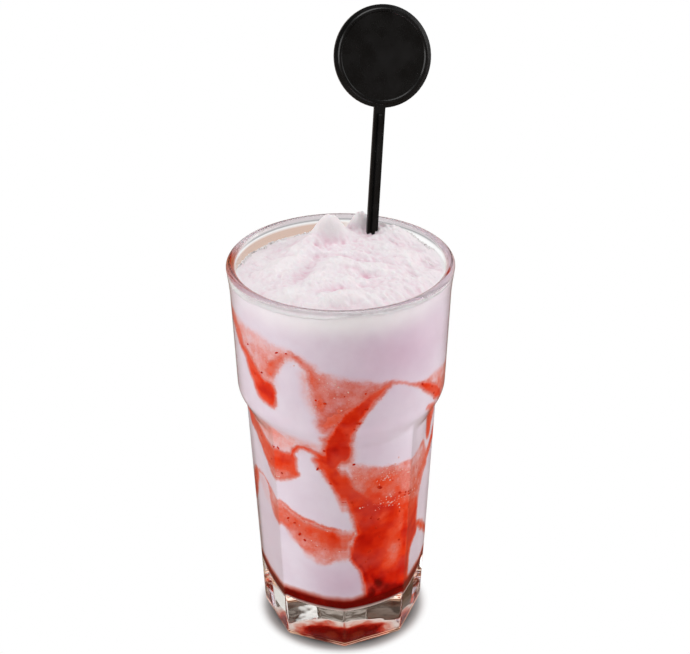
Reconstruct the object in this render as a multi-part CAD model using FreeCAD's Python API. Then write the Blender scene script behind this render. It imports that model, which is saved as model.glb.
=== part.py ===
"""A strawberry milkshake in a panelled tumbler, with a disc-headed stirrer.

Millimetres, +Z up. The origin is on the glass's axis, at the face that it stands on.
The front of the drink faces -Y.
"""
import FreeCAD, Part
import math
import os

Vector = FreeCAD.Vector
origin = Vector(0, 0, 0)
up = Vector(0, 0, 1)
backward = Vector(0, 1, 0)

# ---- outside of the glass: a round mouth and collar over a body of flat panels
glass_height = 150.0
rim_radius = 40.6
rim_wall = 3.2
lip_round = 1.5
flare_height = 9.0           # the last part below the rim, which opens a little more
flare_inset = 1.2            # how much narrower the glass is where the flare starts
flare_round = 60.0
collar_height = 101.0        # the corner where the collar turns in towards the panels
collar_inset = 2.8           # rim radius less the radius at that corner
collar_round = 9.0
collar_slope = 0.52          # radius lost for each mm down, below that corner
collar_root = 4.0            # how far the cone goes on inside the panelled body
scallop_round = 4.0          # hollow rounding where the cone meets the panels
panel_count = 8
panel_turn = 1.0             # degrees that the front corner stands to the right
foot_inset = 10.1            # rim radius less the radius to the foot's corners
panel_taper = 0.0488         # radius gained for each mm up
panel_edge_round = 1.8
foot_round = 2.4

# ---- inside of the glass
floor_height = 14.0
floor_round = 8.0
panel_wall = 2.6             # at the middle of a panel
collar_wall = 2.9
chest_rise = 2.0             # the inside's upper corner, above the collar's corner
inside_round = 9.0

# ---- contents
pool_depth = 7.0             # dark sauce that has sunk to the floor
foam_below_rim = 5.0         # where the foam meets the wall
dome_rise = 5.2
dome_fullness = 2.4          # 2 is a parabola, more is flatter in the middle
side_tilt = 0.9              # the right side stands this much higher, at the wall
ripple_rise = 0.35
ripple_length = 21.0
ripple_shift = 0.8
lump_shape = 1.15            # 1 is a bell, more is a rounder top with steeper sides
foam_grid_steps = 40

# lumps and hollows of the foam: place x, y, half length, half width, turn in degrees, rise
lumps_mouth_radius = 37.4    # the mouth that these places are given for
foam_lumps = [
    (-3.0, 19.8, 5.4, 4.8, 0, 8.8),         # tall peak, left of the stirrer
    (-8.0, 15.5, 7.0, 4.5, 45, 1.8),        # its shoulder
    (8.6, 27.0, 4.4, 4.0, 0, 7.4),          # peak that clings to the stirrer
    (5.0, 22.5, 8.0, 5.5, 10, 2.6),         # saddle between the two
    (18.0, 26.0, 10.0, 6.0, -33, 4.8),      # shoulder at the rear right
    (-16.4, 8.0, 14.0, 4.6, 62, 2.0),       # ridge down the left side
    (-11.8, -5.0, 11.0, 3.6, 70, -2.6),     # valley beside that ridge
    (4.6, -6.0, 12.0, 3.4, -20, 1.7),       # ledge across the middle
    (5.5, 1.2, 9.5, 2.4, -20, -1.6),        # crease above the ledge
    (10.3, -11.5, 3.8, 3.0, 0, -2.0),       # pocket below the ledge
    (-0.5, -20.5, 7.0, 2.8, 12, -2.0),      # hollow behind the front lobe
    (3.0, -29.5, 9.0, 4.4, 0, 3.6),         # front lobe
    (-16.5, -24.0, 5.2, 4.6, 0, 2.0),       # small lobe at the front left
    (-19.0, 5.5, 3.8, 3.6, 0, -1.6),        # dimple on the left ridge
    (20.5, 8.0, 10.0, 6.0, -40, 1.6),       # rise right of the stirrer
    (30.0, 1.5, 4.8, 4.8, 0, -1.3),         # dimple at the right
]

# ---- stirrer: a flat disc on a ribbed stem, moulded in one
disc_radius = 18.4
disc_thickness = 2.5
disc_edge = 1.1              # thickness at the very edge
bead_radius = 16.4           # middle of the raised ring
bead_width = 1.5
bead_height = 0.45           # above the flat faces
stem_width = 4.1
fin_thickness = 1.3
rib_width = 1.2
rib_depth = 3.7              # front to back, over both ribs
rib_end_gap = 2.0            # from the end of the ribs to the disc
rib_end_round = 1.3
stem_fillet = 1.6
stem_sink = 1.0              # how far the stem's fillets start inside the disc's edge
stirrer_turn = 17.0          # degrees that the disc faces to the right
stirrer_above = 81.5         # from the rim's height to the top of the disc, along the stem
entry_inset = 11.4           # from the mouth's wall to the stem, at the rim's height
entry_side = 153.6           # degrees round from the front, towards the right
tip_wall_gap = 7.7           # from the inside wall to the tip
tip_side = 10.2
tip_above_pool = 14.0

# ---- what follows from those
mouth_radius = rim_radius - rim_wall
collar_radius = rim_radius - collar_inset
foot_corner_radius = rim_radius - foot_inset
chest_radius = collar_radius - collar_wall
chest_height = collar_height + chest_rise
foam_level = glass_height - foam_below_rim
pool_level = floor_height + pool_depth
over_everything = 2 * glass_height
nearly = 0.01                # for telling edges apart


def panel_radius(height):
    """From the axis to the middle of a panel."""
    corner = foot_corner_radius + panel_taper * height
    return corner * math.cos(math.pi / panel_count)


def cone_meets_panels(radius, height, wall):
    """Where a cone that narrows downwards from there meets the panels less a wall."""
    taper = panel_taper * math.cos(math.pi / panel_count)
    return (panel_radius(0) - wall - radius + collar_slope * height) / (collar_slope - taper)


def around(side, radius, height):
    """A point at an angle round from the front, in degrees towards the right."""
    angle = math.radians(side)
    return Vector(radius * math.sin(angle), -radius * math.cos(angle), height)


def revolve(corners):
    """A solid turned about the glass's axis from corners of (radius, height, rounding)."""
    points = [Vector(radius, 0, height) for radius, height, rounding in corners]
    edges = []
    start = points[0]
    for index in range(1, len(corners)):
        corner = points[index]
        after = points[(index + 1) % len(points)]
        rounding = corners[index][2]
        if rounding == 0:
            edges.append(Part.makeLine(start, corner))
            start = corner
            continue
        back = (points[index - 1] - corner).normalize()
        ahead = (after - corner).normalize()
        half = back.getAngle(ahead) / 2
        reach = rounding / math.tan(half)
        inward = (back + ahead).normalize()
        first = corner + back * reach
        last = corner + ahead * reach
        middle = corner + inward * (rounding / math.sin(half) - rounding)
        edges.append(Part.makeLine(start, first))
        edges.append(Part.Arc(first, middle, last).toShape())
        start = last
    edges.append(Part.makeLine(start, points[0]))
    return Part.Face(Part.Wire(edges)).revolve(origin, up, 360)


def round_edges(solid, radius, wanted):
    """Fillet the edges for which wanted(edge) holds."""
    return solid.makeFillet(radius, [edge for edge in solid.Edges if wanted(edge)])


def panel_ring(height):
    """The panelled body's outline at a height."""
    radius = foot_corner_radius + panel_taper * height
    step = 360 / panel_count
    corners = [around(panel_turn + step * index, radius, height) for index in range(panel_count)]
    return Part.makePolygon(corners + corners[:1])


def panelled_body():
    """Flat panels with rounded corners, from the foot up to inside the collar."""
    body = Part.makeLoft([panel_ring(0), panel_ring(collar_height)], True, True)

    def foot(edge):
        return edge.BoundBox.ZMax < nearly

    def upright(edge):
        return edge.BoundBox.ZLength > collar_height / 2

    body = round_edges(body, foot_round, foot)
    return round_edges(body, panel_edge_round, upright)


def round_body():
    """The mouth, the collar and the cone under it, which ends inside the panels."""
    root_height = cone_meets_panels(collar_radius, collar_height, 0) - collar_root
    root_radius = collar_radius - collar_slope * (collar_height - root_height)
    return revolve([
        (0, root_height, 0),
        (root_radius, root_height, 0),
        (collar_radius, collar_height, collar_round),
        (rim_radius - flare_inset, glass_height - flare_height, flare_round),
        (rim_radius, glass_height, 0),
        (0, glass_height, 0),
    ])


def cavity():
    """The inside of the glass; over the mouth it goes straight up."""
    waist_height = cone_meets_panels(chest_radius, chest_height, panel_wall)
    return revolve([
        (0, floor_height, 0),
        (panel_radius(floor_height) - panel_wall, floor_height, floor_round),
        (panel_radius(waist_height) - panel_wall, waist_height, inside_round),
        (chest_radius, chest_height, inside_round),
        (mouth_radius, glass_height, 0),
        (mouth_radius, over_everything, 0),
        (0, over_everything, 0),
    ])


def make_glass(inside):
    """Both bodies joined, with the inside cut out and the lip rounded."""
    outside = panelled_body().fuse(round_body()).removeSplitter()
    panel_top = cone_meets_panels(collar_radius, collar_height, 0)
    half_round = math.pi * collar_radius

    def scallop(edge):
        box = edge.BoundBox
        in_cone = panel_top - collar_root < box.ZMin and box.ZMax < collar_height
        return in_cone and edge.Length < half_round and not isinstance(edge.Curve, Part.Line)

    outside = round_edges(outside, scallop_round, scallop)

    def lip(edge):
        return edge.BoundBox.ZMin > glass_height - nearly

    return round_edges(outside.cut(inside), lip_round, lip)


def foam_height(x, y):
    """Height of the foam: a dome, tilted a little, with each lump as a soft-topped bump."""
    out = min(1.0, math.hypot(x, y) / mouth_radius)
    height = foam_level + dome_rise * (1 - out ** dome_fullness) + side_tilt * x / mouth_radius
    wave = 2 * math.pi / ripple_length
    height += ripple_rise * math.sin(wave * x + ripple_shift) * math.cos(wave * y - ripple_shift)
    drawn = lumps_mouth_radius / mouth_radius
    for place_x, place_y, length, width, turn, rise in foam_lumps:
        angle = math.radians(turn)
        right = x * drawn - place_x
        behind = y * drawn - place_y
        along = right * math.cos(angle) + behind * math.sin(angle)
        across = behind * math.cos(angle) - right * math.sin(angle)
        distance = (along / length) ** 2 + (across / width) ** 2
        height += rise * math.exp(-distance ** lump_shape)
    return height


def under_foam():
    """Everything below the foam's surface, as a block wider than the glass."""
    places = [rim_radius * (2 * index / foam_grid_steps - 1) for index in range(foam_grid_steps + 1)]
    rows = [[Vector(x, y, foam_height(x, y)) for y in places] for x in places]
    surface = Part.BSplineSurface()
    surface.interpolate(rows)
    return surface.toShape().extrude(up * -over_everything)


def above(level):
    """Everything over a level, as wide as the glass."""
    return Part.makeCylinder(rim_radius, over_everything, Vector(0, 0, level))


def disc_blank():
    """The disc, turned about Y: flat faces, a raised ring and a bevelled edge on each side."""
    flat = disc_thickness / 2 - bead_height
    ring = disc_thickness / 2
    front = [
        Vector(0, -flat, 0),
        Vector(bead_radius - bead_width / 2, -flat, 0),
        Vector(bead_radius - bead_width / 4, -ring, 0),
        Vector(bead_radius + bead_width / 4, -ring, 0),
        Vector(bead_radius + bead_width / 2, -flat, 0),
        Vector(disc_radius, -disc_edge / 2, 0),
    ]
    back = [Vector(point.x, -point.y, 0) for point in reversed(front)]
    outline = Part.makePolygon(front + back + front[:1])
    return Part.Face(outline).revolve(origin, backward, 360)


def blade(stem_length):
    """The flat fin of the stem, with a round tip, joined to a round plate by fillets."""
    half = stem_width / 2
    face = -fin_thickness / 2
    plate_radius = disc_radius - stem_sink
    tip_centre = Vector(0, face, half - stem_length)
    plate = Part.makeCylinder(plate_radius, fin_thickness, Vector(0, face, 0), backward)
    fin = Part.makeBox(stem_width, fin_thickness, stem_length - half, tip_centre - Vector(half, 0, 0))
    tip = Part.makeCylinder(half, fin_thickness, tip_centre, backward)
    flat = plate.fuse([fin, tip]).removeSplitter()

    def junction(edge):
        is_across = abs(edge.tangentAt(edge.FirstParameter).y) > 1 - nearly
        return is_across and abs(edge.CenterOfMass.z + plate_radius) < stem_width / 2

    return round_edges(flat, stem_fillet, junction)


def ribs(stem_length):
    """The rib that runs down the middle of both faces of the stem."""
    top = -disc_radius - rib_end_gap
    bottom = stem_width - stem_length
    corner = Vector(-rib_width / 2, -rib_depth / 2, bottom)
    bar = Part.makeBox(rib_width, rib_depth, top - bottom, corner)

    def end(edge):
        return abs(edge.tangentAt(edge.FirstParameter).x) > 1 - nearly

    return round_edges(bar, rib_end_round, end)


def make_stirrer():
    """Built about the disc's centre with its stem down, then leaned from its tip."""
    tip_height = pool_level + tip_above_pool
    tip = around(tip_side, panel_radius(tip_height) - panel_wall - tip_wall_gap, tip_height)
    entry = around(entry_side, mouth_radius - entry_inset, glass_height)
    stem = entry - tip
    lean = Vector(stem).normalize()
    centre = entry + lean * (stirrer_above - disc_radius)
    stem_length = stem.Length + stirrer_above - disc_radius
    stirrer = disc_blank().fuse([blade(stem_length), ribs(stem_length)]).removeSplitter()
    turn = FreeCAD.Rotation(up, lean).multiply(FreeCAD.Rotation(up, stirrer_turn))
    stirrer.Placement = FreeCAD.Placement(centre, turn)
    print("stirrer length", round(stem_length + disc_radius, 1))
    return stirrer


def main():
    os.makedirs("parts", exist_ok=True)
    inside = cavity()
    stirrer = make_stirrer()
    over_pool = above(pool_level)
    pieces = {
        "glass": make_glass(inside),
        "sauce_pool": inside.cut(over_pool),
        "milkshake": inside.common(over_pool).common(under_foam()).cut(stirrer),
        "stirrer": stirrer,
    }
    for name, shape in pieces.items():
        shape.exportStep("parts/" + name + ".step")
        print(name, len(shape.Solids), "solid", round(shape.Volume), "mm3", shape.isValid())


main()
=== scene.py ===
import math
import bpy
import numpy as np
from mathutils import Matrix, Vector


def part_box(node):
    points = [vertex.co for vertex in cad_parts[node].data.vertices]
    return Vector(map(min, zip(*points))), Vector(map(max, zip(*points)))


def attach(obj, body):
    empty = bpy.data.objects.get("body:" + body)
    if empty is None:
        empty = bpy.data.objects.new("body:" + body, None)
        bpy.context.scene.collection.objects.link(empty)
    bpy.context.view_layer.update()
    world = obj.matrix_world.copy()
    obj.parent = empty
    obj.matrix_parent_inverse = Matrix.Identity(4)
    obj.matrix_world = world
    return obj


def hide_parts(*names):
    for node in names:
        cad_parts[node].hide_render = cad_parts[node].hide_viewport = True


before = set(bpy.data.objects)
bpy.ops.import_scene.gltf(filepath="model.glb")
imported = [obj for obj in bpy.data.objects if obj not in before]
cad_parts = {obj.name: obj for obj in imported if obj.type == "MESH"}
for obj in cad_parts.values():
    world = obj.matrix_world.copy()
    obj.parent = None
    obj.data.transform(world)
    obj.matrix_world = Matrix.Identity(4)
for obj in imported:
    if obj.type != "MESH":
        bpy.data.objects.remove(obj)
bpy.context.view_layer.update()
mm = 0.001

# heights in millimetres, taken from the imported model
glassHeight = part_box("glass")[1][2] / mm
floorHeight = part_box("sauce_pool")[0][2] / mm
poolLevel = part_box("sauce_pool")[1][2] / mm
wallReach = 0.05              # how far what fills the glass reaches into its wall
print("frame loaded: glass", round(glassHeight, 1), "mm high, pool from", round(floorHeight, 1))


def linear(code):  # a colour written as six hex digits, as the linear values that shaders take
    shades = np.array([int(code[k:k + 2], 16) for k in (0, 2, 4)]) / 255
    return (*np.where(shades <= 0.04045, shades / 12.92, ((shades + 0.055) / 1.055) ** 2.4), 1.0)


def easeStep(value, low, high):  # 0 below low, 1 above high, and a smooth S between
    share = np.clip((value - low) / (high - low), 0, 1)
    return share * share * (3 - 2 * share)


def between(value, rise, fall):  # 0, up to 1 over the first pair of values, down to 0 over the second
    return easeStep(value, *rise) * (1 - easeStep(value, *fall))


def bell(value, middle, width):  # 1 at the middle, less and less away from it
    return np.exp(-((value - middle) / width) ** 2)


def softMax(first, second, blend):  # the larger of two, rounded where they are within blend
    share = np.clip(0.5 + 0.5 * (first - second) / blend, 0, 1)
    return second + (first - second) * share + blend * share * (1 - share)


def softMin(first, second, blend):
    return -softMax(-first, -second, blend)


def turnedBy(angle, x, y):  # the parts of x, y along a line at that angle and across it
    return x * math.cos(angle) + y * math.sin(angle), y * math.cos(angle) - x * math.sin(angle)


noiseTurn = np.array(Matrix.Rotation(0.7, 3, "X") @ Matrix.Rotation(0.5, 3, "Y")
                     @ Matrix.Rotation(0.9, 3, "Z"))


def softNoise(points, size, seed):
    # smooth hills from -1 to 1: random values at the corners of cubes of that size, blended
    # inside each cube by a smooth step along its three axes; the cubes stand askew
    lattice = np.random.default_rng(seed).uniform(-1, 1, (64, 64, 64))
    place = points @ noiseTurn / size
    cell = np.floor(place).astype(int)
    part = place - cell
    part = part * part * part * (part * (part * 6 - 15) + 10)
    total = 0
    for corner in range(8):
        step = np.array([corner & 1, corner >> 1 & 1, corner >> 2 & 1])
        weight = np.prod(np.where(step == 1, part, 1 - part), axis=-1)
        spot = (cell + step) % 64
        total = total + weight * lattice[spot[..., 0], spot[..., 1], spot[..., 2]]
    return total


def layeredNoise(points, size, layers, seed):
    # soft noise in layers, each half as large and a little over half as strong as the last
    total = 0
    for layer in range(layers):
        total = total + 0.55 ** layer * softNoise(points, size / 2 ** layer, seed + layer)
    return total


def onAxis(azimuth, radius, height):
    # points round the glass's axis; azimuth 0 is the front, -Y, and grows towards +X
    return np.stack(np.broadcast_arrays(radius * np.sin(azimuth), -radius * np.cos(azimuth), height), -1)


def allRound(count):  # evenly spaced azimuths, as one row
    return (np.arange(count) * 2 * math.pi / count)[None, :]


def gridQuads(rows, columns, wrap):  # the quads of a grid of points, joined round sideways if asked
    row = np.arange(rows - 1)[:, None]
    column = np.arange(columns if wrap else columns - 1)[None, :]
    ahead = (column + 1) % columns
    start = row * columns
    quads = [start + column, start + ahead, start + columns + ahead, start + columns + column]
    return np.stack(quads, -1).reshape(-1, 4)


def closedTurn(rings):
    # points and faces of a body from rings (rows, columns, 3): the first and the last ring
    # each close on a point at their middle
    rows, columns = rings.shape[:2]
    points = np.concatenate([rings.reshape(-1, 3), rings[:1].mean(1), rings[-1:].mean(1)])
    column = np.arange(columns)
    ahead = (column + 1) % columns
    last = (rows - 1) * columns
    low = np.stack([ahead, column, np.full(columns, rows * columns)], -1)
    high = np.stack([last + column, last + ahead, np.full(columns, rows * columns + 1)], -1)
    return points, gridQuads(rows, columns, True), np.concatenate([low, high])


def addObject(name, content):  # a mesh, lamp or camera put into the scene
    thing = bpy.data.objects.new(name, content)
    bpy.context.scene.collection.objects.link(thing)
    return thing


def addPiece(name, points, quads, triangles, material, slotName):
    # a mesh from whole arrays, in millimetres; if it encloses a negative volume it is turned out
    pieces = np.concatenate([triangles, quads[:, [0, 1, 2]], quads[:, [0, 2, 3]]])
    first, second, third = (points[pieces[:, k]] for k in range(3))
    if np.einsum("ij,ij->", first, np.cross(second, third)) < 0:
        quads, triangles = quads[:, ::-1], triangles[:, ::-1]
    corners = np.concatenate([quads.ravel(), triangles.ravel()]).astype(np.int32)
    starts = np.concatenate([4 * np.arange(len(quads)), 4 * len(quads) + 3 * np.arange(len(triangles))])
    mesh = bpy.data.meshes.new(name)
    mesh.vertices.add(len(points))
    mesh.vertices.foreach_set("co", (points * mm).astype(np.float32).ravel())
    mesh.loops.add(len(corners))
    mesh.loops.foreach_set("vertex_index", corners)
    mesh.polygons.add(len(starts))
    mesh.polygons.foreach_set("loop_start", starts.astype(np.int32))
    mesh.polygons.foreach_set("use_smooth", np.ones(len(starts), bool))
    mesh.update(calc_edges=True)
    mesh.materials.append(material)
    piece = addObject(name, mesh)
    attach(piece, "root")
    print("made", name, "with", len(pieces), "triangles")
    return piece


def addValues(piece, name, *values):  # one number for each point, for its material to read
    layer = piece.data.attributes.new(name, "FLOAT", "POINT")
    layer.data.foreach_set("value", np.concatenate([np.ravel(part) for part in values]).astype(np.float32))


# distances and lens in millimetres, turns in degrees
cameraPlace = {"back": 506.5, "up": 397.6, "pitch": 61.524, "roll": -0.41, "lens": 83.4, "shift": 0.0059}


def makeCamera():
    lens = bpy.data.cameras.new("camera")
    lens.lens = cameraPlace["lens"]
    lens.shift_x = cameraPlace["shift"]
    lens.clip_start = 0.01
    pitch = Matrix.Rotation(math.radians(cameraPlace["pitch"]), 4, "X")
    roll = Matrix.Rotation(math.radians(cameraPlace["roll"]), 4, "Z")
    place = Matrix.Translation((0, -cameraPlace["back"] * mm, cameraPlace["up"] * mm))
    camera = addObject("camera", lens)
    camera.matrix_world = place @ pitch @ roll
    bpy.context.scene.camera = camera


makeCamera()
print("camera placed")


class Nodes:  # a node tree with short calls for adding nodes and links
    def __init__(self, tree):
        self.tree = tree
        tree.nodes.clear()

    def add(self, kind, **values):
        node = self.tree.nodes.new(kind)
        for name, value in values.items():
            setattr(node, name, value)
        return node

    def put(self, value, socket):  # sets a socket, or links it if the value is a socket too
        if isinstance(value, bpy.types.NodeSocket):
            self.tree.links.new(value, socket)
        else:
            socket.default_value = value

    def fill(self, node, **sockets):  # the same for sockets by name, with _ for a space
        for name, value in sockets.items():
            self.put(value, node.inputs[name.replace("_", " ")])
        return node

    def math(self, work, first, second=0.0, third=0.0, clamp=False):
        node = self.add("ShaderNodeMath", operation=work, use_clamp=clamp)
        for socket, value in zip(node.inputs, (first, second, third)):
            self.put(value, socket)
        return node.outputs[0]

    def sway(self, noise, amount, middle, clamp=False):  # the middle value, moved by a noise of 0 to 1
        return self.math("MULTIPLY_ADD", self.math("SUBTRACT", noise, 0.5), amount, middle, clamp)

    def axes(self, vector):  # the X, Y and Z of a vector
        node = self.add("ShaderNodeSeparateXYZ")
        self.put(vector, node.inputs[0])
        return node.outputs

    def value(self, name):  # the numbers that addValues gave the points
        return self.add("ShaderNodeAttribute", attribute_name=name).outputs["Fac"]

    def noise(self, place, size, detail=2.0, rough=0.5):  # noise of about that many millimetres
        node = self.add("ShaderNodeTexNoise")
        self.fill(node, Vector=place, Scale=1 / (size * mm), Detail=detail, Roughness=rough)
        return node.outputs["Fac"]

    def ramp(self, factor, stops, smooth=False):  # colours or greys along a factor
        node = self.add("ShaderNodeValToRGB")
        if smooth:
            node.color_ramp.interpolation = "EASE"
        while len(node.color_ramp.elements) < len(stops):
            node.color_ramp.elements.new(0.5)
        for element, (place, shade) in zip(node.color_ramp.elements, stops):
            element.position = place
            element.color = linear(shade) if isinstance(shade, str) else (shade, shade, shade, 1)
        self.put(factor, node.inputs[0])
        return node.outputs["Color"]

    def mix(self, factor, first, second, blend="MIX"):
        node = self.add("ShaderNodeMix", data_type="RGBA", blend_type=blend)
        for k, value in zip((0, 6, 7), (factor, first, second)):
            self.put(value, node.inputs[k])
        return node.outputs[2]

    def mixShaders(self, factor, first, second):  # the first at 0, the second at 1
        node = self.add("ShaderNodeMixShader")
        for socket, value in zip(node.inputs, (factor, first, second)):
            self.put(value, socket)
        return node.outputs[0]

    def edgeOn(self):  # 0 where the surface faces the eye, 1 where it is seen edge on
        node = self.add("ShaderNodeLayerWeight")
        return self.fill(node, Blend=0.5).outputs["Facing"]

    def bump(self, height, depth, strength=1.0):
        node = self.add("ShaderNodeBump")
        self.fill(node, Height=height, Distance=depth * mm, Strength=strength)
        return node.outputs[0]


def newMaterial(name):
    material = bpy.data.materials.new(name)
    material.use_nodes = True
    nodes = Nodes(material.node_tree)
    nodes.output = nodes.add("ShaderNodeOutputMaterial")
    nodes.surface = nodes.add("ShaderNodeBsdfPrincipled")
    nodes.fill(nodes.output, Surface=nodes.surface.outputs[0])
    nodes.place = nodes.add("ShaderNodeTexCoord").outputs["Object"]
    return material, nodes


def newGroup(name, inputs, outputs):
    # a shader node group with named sockets, given as (name, kind) and for inputs a starting value
    tree = bpy.data.node_groups.new(name, "ShaderNodeTree")
    for socketName, kind, start in inputs:
        socket = tree.interface.new_socket(socketName, in_out="INPUT", socket_type="NodeSocket" + kind)
        if start is not None:
            socket.default_value = start
    for socketName, kind in outputs:
        tree.interface.new_socket(socketName, in_out="OUTPUT", socket_type="NodeSocket" + kind)
    nodes = Nodes(tree)
    nodes.source = nodes.add("NodeGroupInput").outputs
    nodes.result = nodes.add("NodeGroupOutput")
    return tree, nodes


glassShape = {
    "panels": 8,
    "panelTurn": 1.0,          # degrees
    "footCorner": 30.5,        # radius to a corner at the foot
    "panelTaper": 0.0488,
    "cornerRound": 1.8,
    "footRound": 2.4,
    "collarHeight": 101.0,
    "collarRadius": 37.8,
    "flareHeight": 141.0,
    "flareRadius": 39.4,
    "rimRadius": 40.6,
    "coneSlope": 0.52,
    "scallopBlend": 0.9,
    "collarBlend": 1.0,
    "flareBlend": 0.3,
    "lipRound": 1.5,
    "mouthRadius": 37.4,
    "chestRadius": 34.9,
    "chestHeight": 103.0,
    "panelWall": 2.6,
    "floorRound": 8.0,
    "ripple": 0.035,           # unevenness of pressed glass
    "punt": 1.5,               # how far the underside is hollowed
    "puntRadius": 24.0,
    "crackle": 0.09,           # unevenness of the underside
    "columnsPerPanel": 36,
    "cornerCrowding": 0.58,    # 0 spaces the columns evenly, 1 crowds them most at the corners
}


def panelMiddle(height):  # from the axis to the middle of a panel
    corner = glassShape["footCorner"] + glassShape["panelTaper"] * height
    return corner * math.cos(math.pi / glassShape["panels"])


def fromCorner(azimuth):  # how far round from the nearest corner between two panels, in radians
    half = math.pi / glassShape["panels"]
    turned = azimuth - math.radians(glassShape["panelTurn"])
    return np.abs((turned + half) % (2 * half) - half)


def panelRadius(azimuth, middle):
    # polar radius of a regular polygon with rounded corners: straight sides at that middle
    # distance, and near each corner the far crossing of the ray with the corner's circle
    half = math.pi / glassShape["panels"]
    offset = fromCorner(azimuth)
    rounding = glassShape["cornerRound"]
    centre = (middle - rounding) / math.cos(half)
    inside = np.clip(rounding ** 2 - (centre * np.sin(offset)) ** 2, 0, None)
    corner = centre * np.cos(offset) + np.sqrt(inside)
    reach = np.arctan2(rounding * math.sin(half), centre + rounding * math.cos(half))
    return np.where(offset < reach, corner, middle / np.cos(half - offset))


def straightLine(height, lowHeight, lowRadius, highHeight, highRadius):
    # the radius at a height, on the line through two others
    return lowRadius + (highRadius - lowRadius) / (highHeight - lowHeight) * (height - lowHeight)


def outerRadius(azimuth, height):
    # the mouth's cone, the collar's cone below it and the flare above, and outside of those
    # the panels, each meeting the next in a rounded line
    s = glassShape
    chest = straightLine(height, s["collarHeight"], s["collarRadius"], s["flareHeight"], s["flareRadius"])
    cone = s["collarRadius"] + s["coneSlope"] * (height - s["collarHeight"])
    flare = straightLine(height, s["flareHeight"], s["flareRadius"], glassHeight, s["rimRadius"])
    turned = softMax(softMin(chest, cone, s["collarBlend"]), flare, s["flareBlend"])
    return softMax(turned, panelRadius(azimuth, panelMiddle(height)), s["scallopBlend"])


def innerRadius(height):
    # straight wall behind the panels, the cone out to the chest and the wall up to the mouth,
    # with a quarter circle down to the floor
    s = glassShape
    taper = s["panelTaper"] * math.cos(math.pi / s["panels"])
    wall = panelMiddle(height) - s["panelWall"]
    cone = s["chestRadius"] + s["coneSlope"] * (height - s["chestHeight"])
    chest = straightLine(height, s["chestHeight"], s["chestRadius"], glassHeight, s["mouthRadius"])
    upper = softMin(softMax(wall, cone, s["collarBlend"]), chest, s["collarBlend"])
    middle = floorHeight + s["floorRound"]
    centre = panelMiddle(middle) - s["panelWall"] - s["floorRound"] * math.hypot(1, taper)
    below = np.clip(middle - height, 0, s["floorRound"])
    arc = centre + np.sqrt(s["floorRound"] ** 2 - below ** 2)
    return np.where(height < middle - s["floorRound"] * taper, arc, upper)


def panelAzimuths():
    # columns round the glass, closer together at the panels' corners: a part of each column's
    # share of the way from the corner is squared
    count, crowding = glassShape["columnsPerPanel"], glassShape["cornerCrowding"]
    half = math.pi / glassShape["panels"]
    share = (np.arange(count) + 0.5) / count * 2 - 1
    spread = np.sign(share) * ((1 - crowding) * np.abs(share) + crowding * share ** 2)
    middles = math.radians(glassShape["panelTurn"]) + 2 * half * np.arange(glassShape["panels"])
    return (middles[:, None] + half * spread[None, :]).ravel()


def rowHeights(start, *stretches):  # evenly spaced up to each height in turn, in that many rows
    rows = []
    for end, count in stretches:
        rows.append(np.linspace(start, end, count + 1)[1:])
        start = end
    return np.concatenate(rows)[:, None]


def glassRings():
    # from the middle of the underside out round the foot, up the panels and the chest, over
    # the lip, down the inside and in to the middle of the floor. Inside the punt the underside
    # is a shallow bowl, uneven by noise. Rows stand closest where the collar bends.
    s = glassShape
    azimuth = panelAzimuths()[None, :]
    quarter = np.linspace(0, math.pi / 2, 11)[:, None]
    footMiddle = panelMiddle(0) - s["footRound"] + s["footRound"] * np.sin(quarter)
    foot = onAxis(azimuth, panelRadius(azimuth, footMiddle), s["footRound"] * (1 - np.cos(quarter)))
    underside = foot[0] * np.linspace(0.03, 0.98, 34)[:, None, None]
    out = np.hypot(underside[..., 0], underside[..., 1])
    inside = 1 - easeStep(out, 0.8 * s["puntRadius"], s["puntRadius"])
    uneven = layeredNoise(underside, 8.0, 2, 5) + 0.07 * softNoise(underside, 1.8, 6)
    bowl = s["punt"] * np.clip(1 - (out / s["puntRadius"]) ** 2, 0, 1)
    underside[..., 2] = bowl + s["crackle"] * (uneven + 0.8) * inside
    lipStart = glassHeight - s["lipRound"]
    floorStart = floorHeight + s["floorRound"]
    upright = rowHeights(s["footRound"], (84, 41), (106, 45), (lipStart, 25))
    outside = onAxis(azimuth, outerRadius(azimuth, upright), upright)
    lipHeight = lipStart + s["lipRound"] * np.sin(quarter)
    drawnIn = s["lipRound"] * (1 - np.cos(quarter))
    outerLip = onAxis(azimuth, outerRadius(azimuth, lipStart) - drawnIn, lipHeight)
    innerLip = onAxis(azimuth, innerRadius(lipStart) + drawnIn, lipHeight)
    down = rowHeights(lipStart, (143, 10), (108, 15), (86, 45), (floorStart, 29))
    bend = np.linspace(0, math.pi / 2, 15)[1:, None]
    arcMiddle = innerRadius(np.array(floorHeight + 1e-6))
    floorShares = np.linspace(0.9, 0.08, 9)[:, None]
    parts = {
        "underside": underside, "foot": foot, "outside": outside,
        "lip": np.concatenate([outerLip[1:], innerLip[::-1]]),
        "within": onAxis(azimuth, innerRadius(down), down),
        "arc": onAxis(azimuth, arcMiddle + s["floorRound"] * np.cos(bend),
                      floorStart - s["floorRound"] * np.sin(bend)),
        "floor": onAxis(azimuth, arcMiddle * floorShares, floorHeight),
    }
    rings = np.concatenate(list(parts.values()))
    away = rings * [1, 1, 0]
    away /= np.linalg.norm(away, axis=-1, keepdims=True)
    uneven = s["ripple"] * softNoise(rings, 14.0, 3) * easeStep(rings[..., 2], 2, 12)
    return rings + away * uneven[..., None], np.repeat(list(parts), [len(part) for part in parts.values()])


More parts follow.
